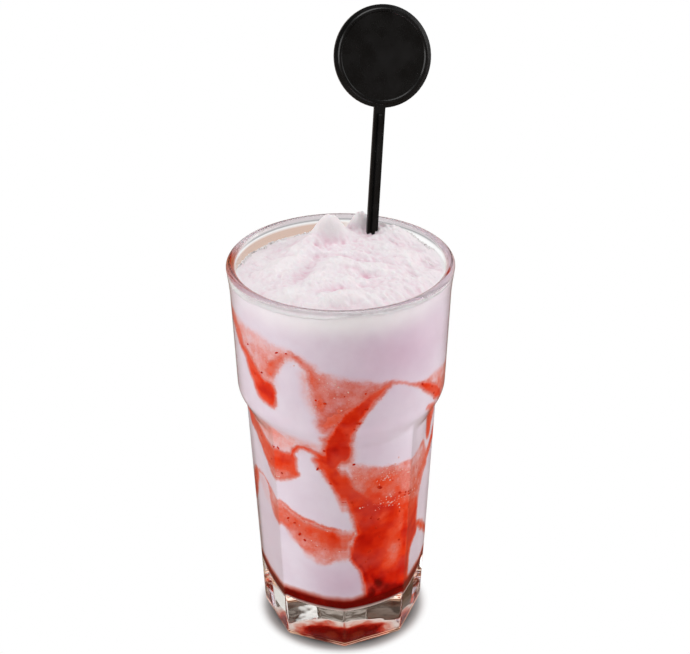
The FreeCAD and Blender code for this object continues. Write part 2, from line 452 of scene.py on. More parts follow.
# where the glass is tinted, in millimetres and in degrees round from the front: a bell is given
# by its middle and width, a fade by where it starts and ends
tintPlaces = {
    # the foot's rim and corners carry a painted reflection of a brown table
    "footRim": (3.0, 4.6), "footCorner": 0.5, "footCornerWidth": 0.9, "footCornerFade": (11, 17),
    "lip": (148.1, 149.2), "lipPale": (240, 13),
    "film": ((143, 144), (147.0, 147.9)), "filmTurn": ((165, 185), (262, 285)),
    "line": (148.5, 0.45), "lineTurn": ((95, 120), (236, 262)), "lineWithin": 38.9,
    "sides": ((274, 1.0), (88.5, 0.5)), "sideWidth": 3.8, "sideThins": (45, 90), "sideEnds": (90, 98),
    # the lip's red tint at the sides is a painted reflection of the runs below it
    "paintedRedLipReflection": ((268, 34, 1.0), (92, 22, 0.05)),
}


def glassTints(rings, kinds):
    # how much of each tint the glass has: a painted reflection of a brown table on the edges of its foot, a
    # painted grey reflection on its lip, redder above the runs at its sides as their painted reflection, a
    # painted grey shade line along the lip's far side, painted brown shade on the wall seen edge on at the
    # two sides, and a thin film of milk that dried on the wall above the foam at the back
    t = tintPlaces
    height = rings[..., 2]
    azimuth = np.arctan2(rings[..., 0], -rings[..., 1])
    turn = np.degrees(azimuth) % 360
    out = np.hypot(rings[..., 0], rings[..., 1])
    outside = np.isin(kinds, ["foot", "outside"])[:, None]
    within = (kinds == "within")[:, None]
    corner = bell(fromCorner(azimuth) * glassShape["footCorner"], 0, t["footCornerWidth"])
    corner = t["footCorner"] * corner * (1 - easeStep(height, *t["footCornerFade"]))
    thinning = 1 - 0.5 * easeStep(height, *t["sideThins"])
    # painted shade: the wall at the two sides, where the eye sees it edge on, darkened to brown
    sides = sum(share * bell(turn, middle, t["sideWidth"]) for middle, share in t["sides"])
    return {
        "foot": np.maximum(corner, 1 - easeStep(height, *t["footRim"])) * outside,
        "lip": easeStep(height, *t["lip"]) * (1 - 0.75 * bell(turn, *t["lipPale"])),
        "paintedRedLipReflection": sum(share * bell(turn, middle, width) for middle, width, share in t["paintedRedLipReflection"]),
        # painted shade: a grey line along the lip's far side
        "line": bell(height, *t["line"]) * (out < t["lineWithin"]) * between(turn, *t["lineTurn"]),
        "sides": sides * outside * thinning * (1 - easeStep(height, *t["sideEnds"])),
        "film": within * between(height, *t["film"]) * between(turn, *t["filmTurn"]),
    }


glassLook = {
    # from where the surface faces the eye to where it is seen edge on, where it turns brown: partly thick
    # glass, partly painted reflection
    "clear": [(0.0, "fefefe"), (0.7, "fcfcfc"), (0.86, "e0d8d2"), (0.92, "ae9484"), (0.97, "866654"),
              (1.0, "6e4e3c")],
    # painted reflection: the lip's greys and browns stand in for the room mirrored in it
    "lip": [(0.0, "c2b6bb"), (0.5, "aca0a5"), (0.68, "b0968f"), (0.85, "9c7466"), (1.0, "82503e")],
    "paintedRedLipColour": "9c3209",
    # the foot's tint is a painted reflection of a brown table, the film is dried milk, the grey line is
    # painted shade and the side tint painted brown shade
    "tints": {"foot": "a8694a", "film": "b58a76", "line": "6a6a6c", "sides": "7c6a52"},
    # painted light: colours that the foot's thick edges give out as a glow, from the table up to 5 mm above
    # it
    "paintedFootGlow": [
        (0.05, "b88060"), (0.14, "5a2c18"), (0.28, "7c4426"), (0.35, "f0d6be"), (0.41, "6a3418"),
        (0.49, "5a2814"), (0.55, "d8b89c"), (0.61, "4a2010"), (0.8, "1e100a"), (1.0, "2c201a")],
    "paintedGlow": 0.9,
    "mirror": "9a9a9a",        # dims what the glass mirrors
    "waves": 0.05,             # height of the surface's waves
}


def glassMaterial():
    # clear glass, a little uneven; seen edge on it turns warm grey and brown, partly for the long path
    # through thick glass and partly as a painted reflection of a warm room, and each tint is mixed in by its
    # own values. The foot's painted glow, light that no lamp gives, runs in wavering lines round the rim.
    # Lamps and soft light go straight through.
    look = glassLook
    material, nodes = newMaterial("clearGlass")
    smoothLip = nodes.math("SUBTRACT", 1.0, nodes.value("lip"))
    waves = nodes.math("MULTIPLY", nodes.noise(nodes.place, 9.0, 1.0), smoothLip)
    facing = nodes.edgeOn()
    # painted reflection: the lip turns red above the runs at its sides
    lip = nodes.mix(nodes.value("paintedRedLipReflection"), nodes.ramp(facing, look["lip"]), linear(look["paintedRedLipColour"]))
    tint = nodes.mix(nodes.value("lip"), nodes.ramp(facing, look["clear"]), lip)
    for name, colour in look["tints"].items():
        tint = nodes.mix(nodes.value(name), tint, linear(colour))
    # painted light: the foot glows in wavering lines round its rim, brighter in patches
    height = nodes.math("MULTIPLY", nodes.axes(nodes.place)["Z"], 1 / (5 * mm))
    lines = nodes.ramp(nodes.sway(nodes.noise(nodes.place, 7.0, 2.0), 0.2, height), look["paintedFootGlow"])
    bright = nodes.ramp(nodes.noise(nodes.place, 10.0, 1.0), [(0.42, "4c3a34"), (0.56, "ffffff")])
    paintedFootGlow = nodes.mix(1.0, lines, bright, "MULTIPLY")
    paintedFootGlow = nodes.mix(nodes.value("foot"), linear("000000"), paintedFootGlow)
    nodes.fill(nodes.surface, Base_Color=tint, Roughness=0.0, IOR=1.5, Transmission_Weight=1.0,
               Specular_Tint=linear(look["mirror"]), Emission_Color=paintedFootGlow, Emission_Strength=look["paintedGlow"],
               Normal=nodes.bump(waves, look["waves"], 0.35))
    path = nodes.add("ShaderNodeLightPath").outputs
    through = nodes.fill(nodes.add("ShaderNodeBsdfTransparent"), Color=linear("fafafa"))
    straight = nodes.math("MAXIMUM", path["Is Shadow Ray"], path["Is Diffuse Ray"])
    nodes.fill(nodes.output, Surface=nodes.mixShaders(straight, nodes.surface.outputs[0], through.outputs[0]))
    return material


glassPoints, ringKinds = glassRings()
glass = addPiece("tumbler", *closedTurn(glassPoints), glassMaterial(), "clear_glass")
for name, values in glassTints(glassPoints, ringKinds).items():
    addValues(glass, name, values, [0.0, 0.0])
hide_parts("glass")


# The lists below lay out the sauce that clings to the wall, in degrees from the front and
# millimetres up. A wash is an outline filled with one amount. A run is a line of
# (degrees, height, half width, amount). soft is the width of an edge, rough how far it wanders.
streakScale = 0.55            # millimetres along the wall for one degree

washes = [
    # upper left: veil, arc and the blob at the end of the run
    dict(amount=0.24, soft=3.0, rough=0.5, outline=[
        (-90, 137.5), (-78, 136.6), (-68, 135.2), (-56, 134.6), (-46, 134.2), (-38, 132.6), (-32, 132.2),
        (-27, 131.6), (-20, 129.6), (-16, 127.6), (-17, 125.2), (-22, 127.4), (-27, 128.2), (-31, 127),
        (-34.5, 123), (-36.5, 119), (-37, 113), (-44, 110), (-52, 114), (-58, 119), (-66, 122), (-72, 127),
        (-80, 129.4), (-90, 129.6)]),
    dict(amount=0.72, soft=2.0, rough=0.4, outline=[
        (-58, 119), (-52, 118.5), (-46, 117), (-40, 116.6), (-37.6, 114), (-37.6, 109.5), (-39.5, 106.2),
        (-46, 106), (-52, 107.6), (-55.5, 111.5), (-57.5, 115.5)]),
    # middle: bubbly veil that narrows down to the neck
    dict(amount=0.43, soft=3.0, rough=0.6, outline=[
        (-21.5, 128.6), (-14, 126.6), (-6, 124.6), (3, 122.8), (12, 121.4), (20, 120.2), (27, 119.3),
        (22, 116), (14, 112), (8, 108.5), (5, 105), (-8, 101), (-13, 103), (-13.5, 106), (-15.5, 110),
        (-17.5, 114), (-18, 118), (-19.5, 123)]),
    dict(amount=0.17, soft=3.0, rough=0.5, outline=[
        (-24, 123), (-19, 126), (-15, 116), (-13, 108), (-16, 107), (-20.5, 112), (-23, 117)]),
    dict(amount=0.46, soft=4.4, rough=0.5, outline=[
        (-13.5, 106), (-8, 111), (1, 113), (8, 113), (9, 108), (4, 101), (-6, 99.6), (-12.6, 100)]),
    dict(amount=0.66, soft=5.0, rough=0.5, outline=[
        (-12.4, 97), (-7, 99.6), (-1, 103), (5, 107), (5.4, 102), (5.6, 97), (7, 94), (6.4, 89), (5.8, 85),
        (-2, 81.4), (-13, 83.4), (-16.4, 87.5), (-14, 90.5), (-12.6, 94)]),
    # right of the chest: veil behind the run, and the patch under the collar
    dict(amount=0.34, soft=2.6, rough=0.5, outline=[
        (50, 114), (60, 114.2), (72, 113.6), (84, 113), (96, 111.6), (106, 107.6), (113, 101.5),
        (104, 101.6), (95, 99.6), (86, 100), (76, 101), (68, 104.5), (60, 109)]),
    dict(amount=0.62, soft=2.4, rough=0.6, outline=[
        (70, 96.5), (80, 95.4), (92, 94), (101, 89.6), (104, 84.6), (97, 82.4), (90, 77.6), (83, 78.4),
        (77.5, 84.5), (75, 89.5)]),
    # left below the collar: faint film, then the broad band
    dict(amount=0.22, soft=4.0, rough=0.5, outline=[
        (-92, 98), (-70, 99), (-55, 98.4), (-42, 97), (-30, 95.6), (-20, 94.4), (-13, 93), (-14, 88),
        (-24, 88.5), (-36, 85), (-50, 84), (-62, 86), (-92, 88)]),
    dict(amount=0.58, soft=3.0, rough=0.5, outline=[
        (-96, 99), (-76, 99.4), (-66, 98.6), (-62.5, 96), (-66, 92.5), (-72, 90), (-96, 88)]),
    dict(amount=0.62, soft=2.0, rough=0.5, outline=[
        (-96, 90), (-80, 90.2), (-70, 89.6), (-62, 87.6), (-55, 85.9), (-45, 85.3), (-35, 85.8),
        (-31.6, 84.2), (-31.2, 79.4), (-29.4, 77.2), (-32, 75), (-42, 72.4), (-50, 71.2), (-58, 72.6),
        (-66, 76.5), (-76, 80.6), (-96, 84)]),
    # the veil to the right of the slanting run, then the run and the dense sheet themselves
    dict(amount=0.43, soft=2.2, rough=0.6, outline=[
        (4, 85), (10, 83.8), (18, 82.2), (28, 80.7), (40, 79.9), (52, 79.8), (64, 80.2), (74, 80.6),
        (80, 76), (86, 73), (90, 66), (80, 63.5), (74, 58), (68, 54), (30, 54), (18, 58), (9, 68),
        (4, 78)]),
    dict(amount=0.62, soft=5.0, rough=0.8, outline=[
        (16, 75), (24, 72), (33, 69.6), (44, 68), (56, 66), (68, 64), (72, 58), (56, 56), (40, 57),
        (24, 61), (10, 68)]),
    dict(amount=0.86, soft=3.2, rough=0.6, outline=[
        (-18, 87.4), (-12, 88), (-4, 86), (3, 80), (8, 75), (16, 70.4), (24, 66.5), (33, 63.6), (44, 62.4),
        (56, 60.6), (66, 59), (71, 56), (70.5, 50), (72, 44), (73, 39.4), (66, 37.2), (60, 35.2),
        (57.5, 32), (57, 26), (58, 19), (20, 19), (19.6, 23.5), (17.6, 27.4), (15, 31.4), (12, 34.6),
        (8, 38), (3.6, 41), (3.8, 45), (5, 48.6), (8.6, 51.5), (9, 54), (5, 60.5), (1.5, 65.6), (-3, 70.4),
        (-8, 75.2), (-13, 79), (-18, 83), (-21, 85.6)]),
    # lower left: the ragged tongue
    dict(amount=0.42, soft=2.8, rough=0.8, outline=[
        (-64, 65), (-56, 62.8), (-47, 61), (-38, 59), (-30, 57.6), (-20, 57), (-10, 55.7), (0, 55),
        (10, 55), (8, 50.5), (6, 46), (5, 41.5), (-4, 39.6), (-12, 38.4), (-20, 38.4), (-28, 40),
        (-34, 43.4), (-40, 46.4), (-48, 50), (-56, 52), (-62, 57)]),
    dict(amount=0.12, soft=4.0, rough=0.6, outline=[
        (-84, 65), (-62, 64), (-60, 56), (-72, 56), (-84, 60)]),
    dict(amount=0.62, soft=2.6, rough=0.7, outline=[
        (-112, 52), (-104, 60), (-96, 63.5), (-88, 64), (-84, 62), (-87, 57.5), (-92, 54), (-98, 49),
        (-106, 46)]),
    # the back, where the same runs carry on
    dict(amount=0.42, soft=3.0, rough=0.8, outline=[
        (112, 126), (132, 125), (152, 121), (168, 117), (180, 112), (172, 104), (160, 98), (150, 104),
        (138, 112), (124, 118)]),
    dict(amount=0.38, soft=3.0, rough=0.8, outline=[
        (-104, 88), (-118, 84), (-132, 76), (-146, 66), (-158, 56), (-166, 60), (-160, 74), (-148, 84),
        (-130, 91), (-114, 93)]),
    dict(amount=0.44, soft=3.0, rough=0.8, outline=[
        (156, 76), (168, 80), (182, 78), (196, 70), (206, 58), (204, 44), (194, 34), (184, 40), (176, 56),
        (166, 66)]),
]

runs = [
    dict(soft=2.4, rough=0.5, line=[
        (-108, 136, 2.0, 0.60), (-95, 134, 3.0, 0.46), (-84, 133.6, 3.2, 0.48), (-76, 132.4, 3.2, 0.50),
        (-70, 128.4, 2.6, 0.60), (-65, 124.6, 1.9, 0.68), (-59, 121.6, 2.1, 0.68), (-54, 117, 3.2, 0.70),
        (-49, 112.6, 3.4, 0.74)]),
    dict(soft=2.6, rough=0.6, line=[
        (-41, 120.5, 1.9, 0.42), (-37, 125.2, 1.9, 0.42), (-32, 128.8, 1.7, 0.44), (-27, 129.8, 1.5, 0.44),
        (-22, 129, 1.6, 0.42), (-17, 126.2, 2.2, 0.44)]),
    dict(soft=2.6, rough=0.4, line=[
        (29, 118.9, 0.7, 0.50), (24, 117.6, 1.4, 0.64), (18, 114.4, 2.2, 0.76), (11, 110.6, 2.8, 0.80),
        (5, 106.8, 3.2, 0.81), (1, 101.5, 3.6, 0.80), (-2, 95, 4.4, 0.82), (-3, 89, 4.8, 0.84),
        (-5, 84.5, 3.4, 0.84)]),
    dict(soft=0.8, rough=0.2, line=[(6.5, 104.4, 0.5, 0.80), (10, 104.2, 0.5, 0.95)]),
    dict(soft=1.0, rough=0.4, line=[
        (27, 119.2, 0.6, 0.42), (33, 117.6, 0.7, 0.40), (40, 115.8, 0.6, 0.36), (46, 114.4, 0.9, 0.52)]),
    dict(soft=1.8, rough=0.4, line=[
        (46, 114.2, 0.7, 0.60), (50, 112.8, 1.2, 0.80), (56, 110, 1.9, 0.78), (62, 107.2, 2.2, 0.72),
        (68, 104, 2.2, 0.74), (73, 101.4, 1.4, 0.70)]),
    dict(soft=1.6, rough=0.4, line=[
        (58, 101, 0.7, 0.50), (64, 99.6, 1.6, 0.60), (70, 96.8, 2.0, 0.62), (78, 93.8, 1.8, 0.60)]),
    dict(soft=1.3, rough=0.4, line=[
        (-36, 84.4, 1.0, 0.74), (-34, 86.8, 1.1, 0.72), (-30.5, 88.9, 1.1, 0.68), (-26, 89.8, 1.0, 0.66),
        (-21, 89, 1.1, 0.68), (-15, 87.2, 1.4, 0.72), (-9, 85.6, 2.0, 0.78)]),
    dict(soft=2.4, rough=0.5, line=[
        (58, 67.5, 2.0, 0.50), (68, 67, 2.6, 0.52), (80, 68.6, 2.8, 0.56), (92, 71, 2.8, 0.58),
        (106, 74.5, 2.8, 0.68), (118, 79, 2.0, 0.68), (128, 80, 0.9, 0.62)]),
    # darker stretches inside the dense sheet
    dict(soft=3.0, rough=0.6, line=[
        (-16, 82.4, 0.8, 0.86), (-8, 77, 0.9, 0.88), (1, 69.6, 0.9, 0.88), (7, 61, 1.0, 0.88),
        (11, 53, 1.2, 0.9)]),
    dict(soft=3.0, rough=0.6, line=[
        (5, 47, 1.2, 0.90), (7, 42, 1.4, 0.90), (14, 36, 1.8, 0.95), (19, 29, 2.2, 1.02),
        (23, 23, 3.0, 1.10)]),
    dict(soft=5.0, rough=0.8, line=[
        (24, 31, 2.6, 1.02), (30, 25, 4.0, 1.12), (42, 23, 4.0, 1.12), (54, 21, 2.6, 1.0)]),
    dict(soft=1.8, rough=0.5, line=[
        (70, 43.4, 1.4, 0.66), (80, 40.2, 1.7, 0.62), (90, 36.6, 2.0, 0.60), (104, 31.6, 1.9, 0.68),
        (114, 26, 2.0, 0.72), (122, 21, 3.0, 0.85)]),
    dict(soft=1.3, rough=0.5, line=[
        (-92, 63, 1.4, 0.50), (-82, 65, 0.9, 0.42), (-72, 66, 0.7, 0.30), (-62, 64.6, 0.8, 0.34),
        (-52, 62, 0.8, 0.40), (-42, 60, 0.8, 0.48), (-30, 57.5, 0.7, 0.62), (-20, 57, 0.6, 0.68),
        (-10, 55.7, 0.6, 0.68), (0, 54.9, 0.6, 0.50)]),
    # the back
    dict(soft=2.4, rough=0.7, line=[
        (116, 123, 1.0, 0.60), (128, 119, 2.2, 0.74), (139, 111, 3.4, 0.80), (147, 100, 3.0, 0.76),
        (152, 88, 3.2, 0.78), (160, 76, 4.4, 0.84), (170, 64, 5.2, 0.84), (177, 50, 5.4, 0.86),
        (181, 36, 6.2, 0.92), (184, 22, 7.5, 1.0)]),
    dict(soft=2.4, rough=0.7, line=[
        (-108, 136, 2.0, 0.60), (-119, 128, 2.4, 0.66), (-127, 118, 3.2, 0.72), (-131, 110, 3.6, 0.80)]),
    dict(soft=2.2, rough=0.7, line=[
        (-90, 87, 2.4, 0.56), (-103, 89, 1.8, 0.62), (-117, 86, 2.0, 0.66), (-129, 79, 3.0, 0.72),
        (-141, 70, 4.0, 0.76), (-152, 60, 4.2, 0.74), (-163, 50, 3.0, 0.66)]),
    dict(soft=2.4, rough=0.7, line=[
        (-108, 49, 2.0, 0.60), (-118, 41, 2.2, 0.64), (-128, 33, 2.6, 0.68), (-138, 26, 3.2, 0.76),
        (-146, 21, 4.0, 0.90)]),
]

# A dab changes the amount in a soft ellipse: degrees, height, half length, half height, change.
dabs = [
    (-52, 131, 10, 2.6, -0.08), (-40, 123.5, 6, 3, 0.12), (-47, 120, 8, 2.6, 0.16),
    (-46, 118, 8, 1.6, -0.06), (-45, 110.5, 9, 3.4, 0.12), (-68, 132, 6, 3, 0.06), (-12, 112, 5, 6, 0.10),
    (-3, 120, 8, 3, -0.10), (1, 105, 6, 3.4, 0.06), (12, 118.6, 9, 2, -0.06), (-14, 122, 5, 3, 0.07),
    (-2, 91, 6, 5, 0.05), (-6, 89, 9, 5, 0.05), (76, 104, 9, 3, 0.12), (72, 111, 14, 2.4, -0.08),
    (83, 84, 6, 4, 0.20), (-52, 92.5, 13, 3.4, 0.11), (-34, 90.5, 10, 2.5, 0.10),
    (-44, 82, 12, 2.8, 0.18), (-52, 74, 18, 2.4, -0.20), (-74, 82.4, 12, 2.0, -0.16),
    (-70, 87, 12, 2.2, 0.06), (12, 81, 9, 2, -0.10), (62, 77.5, 14, 2.6, -0.16), (60, 62, 9, 4, -0.06),
    (27, 71, 13, 5, 0.20), (45, 66, 9, 4, 0.14), (36, 77, 10, 1.6, -0.05), (10, 76, 6, 3, 0.10),
    (41, 40, 10, 6, -0.42), (60, 57.5, 11, 3, -0.20), (20, 47, 9, 9, 0.08), (24, 34, 9, 6, 0.14),
    (41, 29, 12, 4, 0.22), (26, 57, 8, 3, 0.07), (-11, 83, 7, 2.6, -0.14), (66, 38, 8, 2.6, -0.18),
    (62, 48, 12, 9, -0.02), (52, 46, 3, 12, 0.08), (30, 57.5, 6, 2.4, -0.15), (48, 53, 3, 6, -0.10),
    (34, 43, 3, 7, 0.08), (6, 76, 7, 3, -0.08), (-18, 52.5, 15, 3.2, 0.25), (-34, 54.6, 9, 2.4, 0.10),
    (-5, 50, 6, 4.6, 0.28), (3, 45, 3.4, 4.4, -0.10), (-12, 46, 9, 3, 0.14), (-24, 41, 16, 2.6, -0.14),
    (-42, 48, 10, 2.4, -0.12), (-58, 57, 7, 5, -0.06),
]

# where the shake itself is a little pinker, laid out as the dabs are, the last value from 0 to 1
blushes = [(30, 129, 34, 14, 0.85), (20, 96, 15, 12, 0.4), (4, 30, 26, 9, 0.75), (-4, 106, 9, 9, 0.7)]


def aroundOutline(outline, steps=6):
    # a closed smooth line through the points: cubic spans whose slope at a point is half the
    # step from the point before it to the point after it
    points = np.array(outline, float)
    before, after, second = (np.roll(points, shift, 0) for shift in (1, -1, -2))
    share = (np.arange(steps) / steps)[None, :, None]
    curve = (2 * share ** 3 - 3 * share ** 2 + 1) * points[:, None]
    curve = curve + (share ** 3 - 2 * share ** 2 + share) * (after - before)[:, None] / 2
    curve = curve + (3 * share ** 2 - 2 * share ** 3) * after[:, None]
    curve = curve + (share ** 3 - share ** 2) * (second - points)[:, None] / 2
    return curve.reshape(-1, 2)


def alongEdge(across, height, start, end):
    # share of the way along an edge to the point nearest, and the distance from it
    edge = end[:2] - start[:2]
    share = ((across - start[0]) * edge[0] + (height - start[1]) * edge[1]) / max(edge @ edge, 1e-9)
    share = np.clip(share, 0, 1)
    return share, np.hypot(across - start[0] - share * edge[0], height - start[1] - share * edge[1])


def washStrength(across, height, wash):
    # the amount well inside the outline, eased over its soft edge: the distance is to the
    # nearest edge, and its sign comes from how many edges a level line crosses
    curve = aroundOutline(wash["outline"]) * [streakScale, 1]
    nearest = np.full(across.shape, 1e9)
    inside = np.zeros(across.shape, bool)
    for start, end in zip(curve, np.roll(curve, -1, 0)):
        nearest = np.minimum(nearest, alongEdge(across, height, start, end)[1])
        if end[1] != start[1]:
            crossing = start[0] + (height - start[1]) / (end[1] - start[1]) * (end[0] - start[0])
            inside ^= ((start[1] > height) != (end[1] > height)) & (across < crossing)
    depth = np.where(inside, nearest, -nearest)
    return wash["amount"] * easeStep(depth, -0.5 * wash["soft"], 0.8 * wash["soft"])


def runStrength(across, height, run):
    # the amount on the line, eased over the soft edge beside it; width and amount vary along it
    strength = np.zeros(across.shape)
    points = np.array(run["line"], float) * [streakScale, 1, 1, 1]
    for start, end in zip(points[:-1], points[1:]):
        share, away = alongEdge(across, height, start, end)
        width, amount = (start[k] + (end[k] - start[k]) * share * share * (3 - 2 * share) for k in (2, 3))
        edge = easeStep(width - away, -0.6 * run["soft"], 0.7 * run["soft"])
        strength = np.maximum(strength, amount * edge)
    return strength


def patch(degrees, height, place, up, length, rise):  # a soft ellipse on the wall, 1 at its middle
    return np.exp(-((degrees - place) / length) ** 2 - ((height - up) / rise) ** 2)


def wallPoints(azimuth, height):  # on the inside of the glass
    return onAxis(azimuth, innerRadius(height), height)


sauceGrain = {"brushed": 0.045, "clouds": 0.08, "thickClouds": 0.06, "pulp": 0.09, "finePulp": 0.06}


def sauceAmount(azimuth, height):
    # from 0, plain shake, over 0.4, a veil, and 0.8, thick sauce, to 1.3, nearly black: washes
    # and runs joined by the sixth root of their sixth powers, then dabs, clouds and pulp
    points = wallPoints(azimuth, height)
    wanderAcross = layeredNoise(points, 5.0, 2, 21) + 0.25 * softNoise(points, 1.6, 31)
    wanderUp = layeredNoise(points + 40.0, 5.0, 2, 41) + 0.25 * softNoise(points + 80.0, 1.6, 51)
    total = np.zeros(points.shape[:-1])
    degrees = np.degrees(azimuth[0])
    for turn in (-360, 0, 360):
        for shape in washes + runs:
            corners = np.array(shape.get("line") or shape["outline"])
            near = (degrees + turn > corners[:, 0].min() - 10) & (degrees + turn < corners[:, 0].max() + 10)
            if not near.any():
                continue
            across = (degrees[near] + turn) * streakScale + shape["rough"] * wanderAcross[:, near]
            up = height + shape["rough"] * wanderUp[:, near]
            strength = runStrength(across, up, shape) if "line" in shape else washStrength(across, up, shape)
            total[:, near] = (total[:, near] ** 6 + strength ** 6) ** (1 / 6)
        for *spot, change in dabs:
            total = total + change * patch(degrees + turn, height, *spot) * easeStep(total, 0.05, 0.3)
    s = sauceGrain
    brushed = s["brushed"] * layeredNoise(points * [0.45, 0.45, 1.3], 5.0, 2, 61)
    brushed = brushed + s["clouds"] * layeredNoise(points, 8.0, 2, 71)
    brushed = brushed + s["thickClouds"] * layeredNoise(points, 4.0, 2, 75) * easeStep(total, 0.6, 0.8)
    total = total + brushed * easeStep(total, 0.08, 0.4)
    pulp = s["pulp"] * softNoise(points, 3.2, 81) + s["finePulp"] * softNoise(points, 1.7, 83)
    total = total + pulp * easeStep(total, 0.08, 0.3) * (1 - 0.45 * easeStep(total, 0.6, 0.8))
    return np.clip(total, 0, 1.3)


sunkSauceAndShadeReach = {"above": 3.5, "fade": 5.2, "wander": 0.6}


# darker towards the pool: partly sauce sunk there, partly painted shade low in the glass
def sunkSauceAndShadeAmount(azimuth, height):  # the pool's top fades into the shake above it, from 1 to 0
    points = wallPoints(azimuth, height)
    top = poolLevel + sunkSauceAndShadeReach["wander"] * layeredNoise(points * [1, 1, 0.3], 7.0, 3, 91)
    return easeStep(top + sunkSauceAndShadeReach["above"] - height, 0, sunkSauceAndShadeReach["fade"])


def blushAmount(azimuth, height):  # the sum of the blushes, from 0 to 1
    degrees = np.degrees(azimuth)
    return np.clip(sum(strength * patch(degrees, height, *spot) for *spot, strength in blushes), 0, 1)


def edgeStrength(amount, spacing):  # how steeply the amount changes, from 0 to 1 at 0.3 in a millimetre
    across = (np.roll(amount, -1, 1) - np.roll(amount, 1, 1)) / (2 * spacing[0])
    up = np.gradient(amount, spacing[1], axis=0)
    return np.clip(np.hypot(across, up) / 0.3, 0, 1)


sauceLook = {
    # from plain shake over a veil and thick sauce to nearly black
    "colours": [
        (0.0, "e7dce7"), (0.08, "e7cfd7"), (0.17, "ebb5b2"), (0.28, "ea958a"), (0.385, "e8705a"),
        (0.49, "e8502f"), (0.585, "e63c17"), (0.68, "d7280d"), (0.77, "c61707"), (0.86, "a30d04"),
        (0.94, "7c0804"), (1.0, "620604")],
    "milkyEdge": "d08c88", "milkyPatch": "cc7468",
    # what the dark sauce near the pool and the painted shade there leave of the colour, from none of it to
    # most
    "sunk": [(0.04, "ffffff"), (0.2, "f2ccc0"), (0.42, "d88a78"), (0.62, "b44a38"), (0.8, "96261a"),
             (1.0, "7c140c")],
    "blush": "efdbe6", "cloud": "f7f2f5", "froth": "f8f3f6",
    "grain": 0.34,
}


def sauceColourGroup():
    # colour from the amount of sauce, moved up and down by a fine grain
    look = sauceLook
    tree, nodes = newGroup("sauceColour", [
        ("Amount", "Float", 0.0), ("Place", "Vector", None), ("Grain", "Float", 0.3), ("Edge", "Float", 0.0),
        ("Settled", "Float", 0.0),
    ], [("Color", "Color")])
    source = nodes.source
    grain = nodes.noise(source["Place"], 1.1, 4.0, 0.75)
    # most grain in a veil, none in plain shake, little in thick sauce, and more at an edge
    share = nodes.ramp(source["Amount"], [(0.02, 0.0), (0.25, 1.0), (0.5, 0.8), (0.8, 0.3)])
    spread = nodes.math("MULTIPLY", share, source["Grain"])
    spread = nodes.math("MULTIPLY_ADD", source["Edge"], 0.45, spread)
    scaled = nodes.math("DIVIDE", nodes.sway(grain, spread, source["Amount"]), 1.3, clamp=True)
    colour = nodes.ramp(scaled, look["colours"])
    # a thinning edge is milkier than an even veil
    thin = nodes.ramp(scaled, [(0.08, 0.0), (0.2, 1.0), (0.45, 1.0), (0.62, 0.0)])
    milky = nodes.math("MULTIPLY", nodes.math("MULTIPLY", thin, source["Edge"]), 0.35)
    colour = nodes.mix(milky, colour, linear(look["milkyEdge"]))
    # wide soft patches of thick sauce are a little milky too
    haze = nodes.ramp(nodes.noise(source["Place"], 10.0, 2.0, 0.45), [(0.44, 0.0), (0.68, 0.2)])
    thick = nodes.ramp(scaled, [(0.25, 0.0), (0.42, 1.0), (0.75, 1.0), (0.9, 0.2)])
    colour = nodes.mix(nodes.math("MULTIPLY", haze, thick), colour, linear(look["milkyPatch"]))
    # near the pool dark sauce that has sunk there shows through, darkened further by painted shade
    darker = nodes.ramp(nodes.sway(grain, 0.12, source["Settled"], clamp=True), look["sunk"])
    nodes.fill(nodes.result, Color=nodes.mix(1.0, colour, darker, "MULTIPLY"))
    return tree


sauceColour = sauceColourGroup()


def sauceShade(nodes):  # the group above, fed by the piece's own values
    group = nodes.add("ShaderNodeGroup", node_tree=sauceColour)
    nodes.fill(group, Amount=nodes.value("sauce"), Place=nodes.place, Grain=sauceLook["grain"],
               Edge=nodes.value("edge"), Settled=nodes.value("sunkSauceAndShade"))
    return group.outputs["Color"]


def shakeMaterial():
    # smooth shake against the wall: colour from the sauce in it, pinker in places, whiter
    # towards the foam; where it touches the glass it has no gloss of its own
    material, nodes = newMaterial("shakeAtWall")
    look = sauceLook
    colour = sauceShade(nodes)
    pinker = nodes.mix(1.0, colour, linear(look["blush"]), "MULTIPLY")
    colour = nodes.mix(nodes.value("blush"), colour, pinker)
    cloud = nodes.noise(nodes.place, 11.0, 4.0, 0.6)
    shade = nodes.ramp(cloud, [(0.3, look["cloud"]), (0.7, "ffffff")])
    colour = nodes.mix(1.0, colour, shade, "MULTIPLY")
    froth = nodes.sway(cloud, 0.5, nodes.value("froth"), clamp=True)
    froth = nodes.math("MULTIPLY", froth, nodes.value("froth"))
    colour = nodes.mix(froth, colour, linear(look["froth"]))
    nodes.fill(nodes.surface, Base_Color=colour, Roughness=0.6, Specular_IOR_Level=0.0,
               Subsurface_Weight=0.1, Subsurface_Radius=(0.002, 0.001, 0.001), Subsurface_Scale=1.0,
               Normal=nodes.bump(nodes.noise(nodes.place, 0.8, 2.0), 0.03, 0.3))
    return material


def sauceMaterial():  # thick sauce: the same colours, with pulp in it
    material, nodes = newMaterial("thickSauce")
    nodes.fill(nodes.surface, Base_Color=sauceShade(nodes), Roughness=0.5, Specular_IOR_Level=0.0,
               Normal=nodes.bump(nodes.noise(nodes.place, 1.2, 3.0), 0.05, 0.3))
    return material


foamShape = {
    "level": glassHeight - 4.6, "domeRise": 4.8, "fullness": 2.4, "tilt": 0.9, "forward": 1.5,
    "rippleRise": 0.35, "rippleLength": 21.0, "rippleShift": 0.8, "bluntness": 1.05,
    "lumps": 0.6, "folds": 0.34, "fineFolds": 0.15, "crumbs": 0.24, "strandTurn": -46,
    "cells": 308,
}
brimRadius = innerRadius(np.array(foamShape["level"])) + wallReach     # of the foam's edge, at the wall

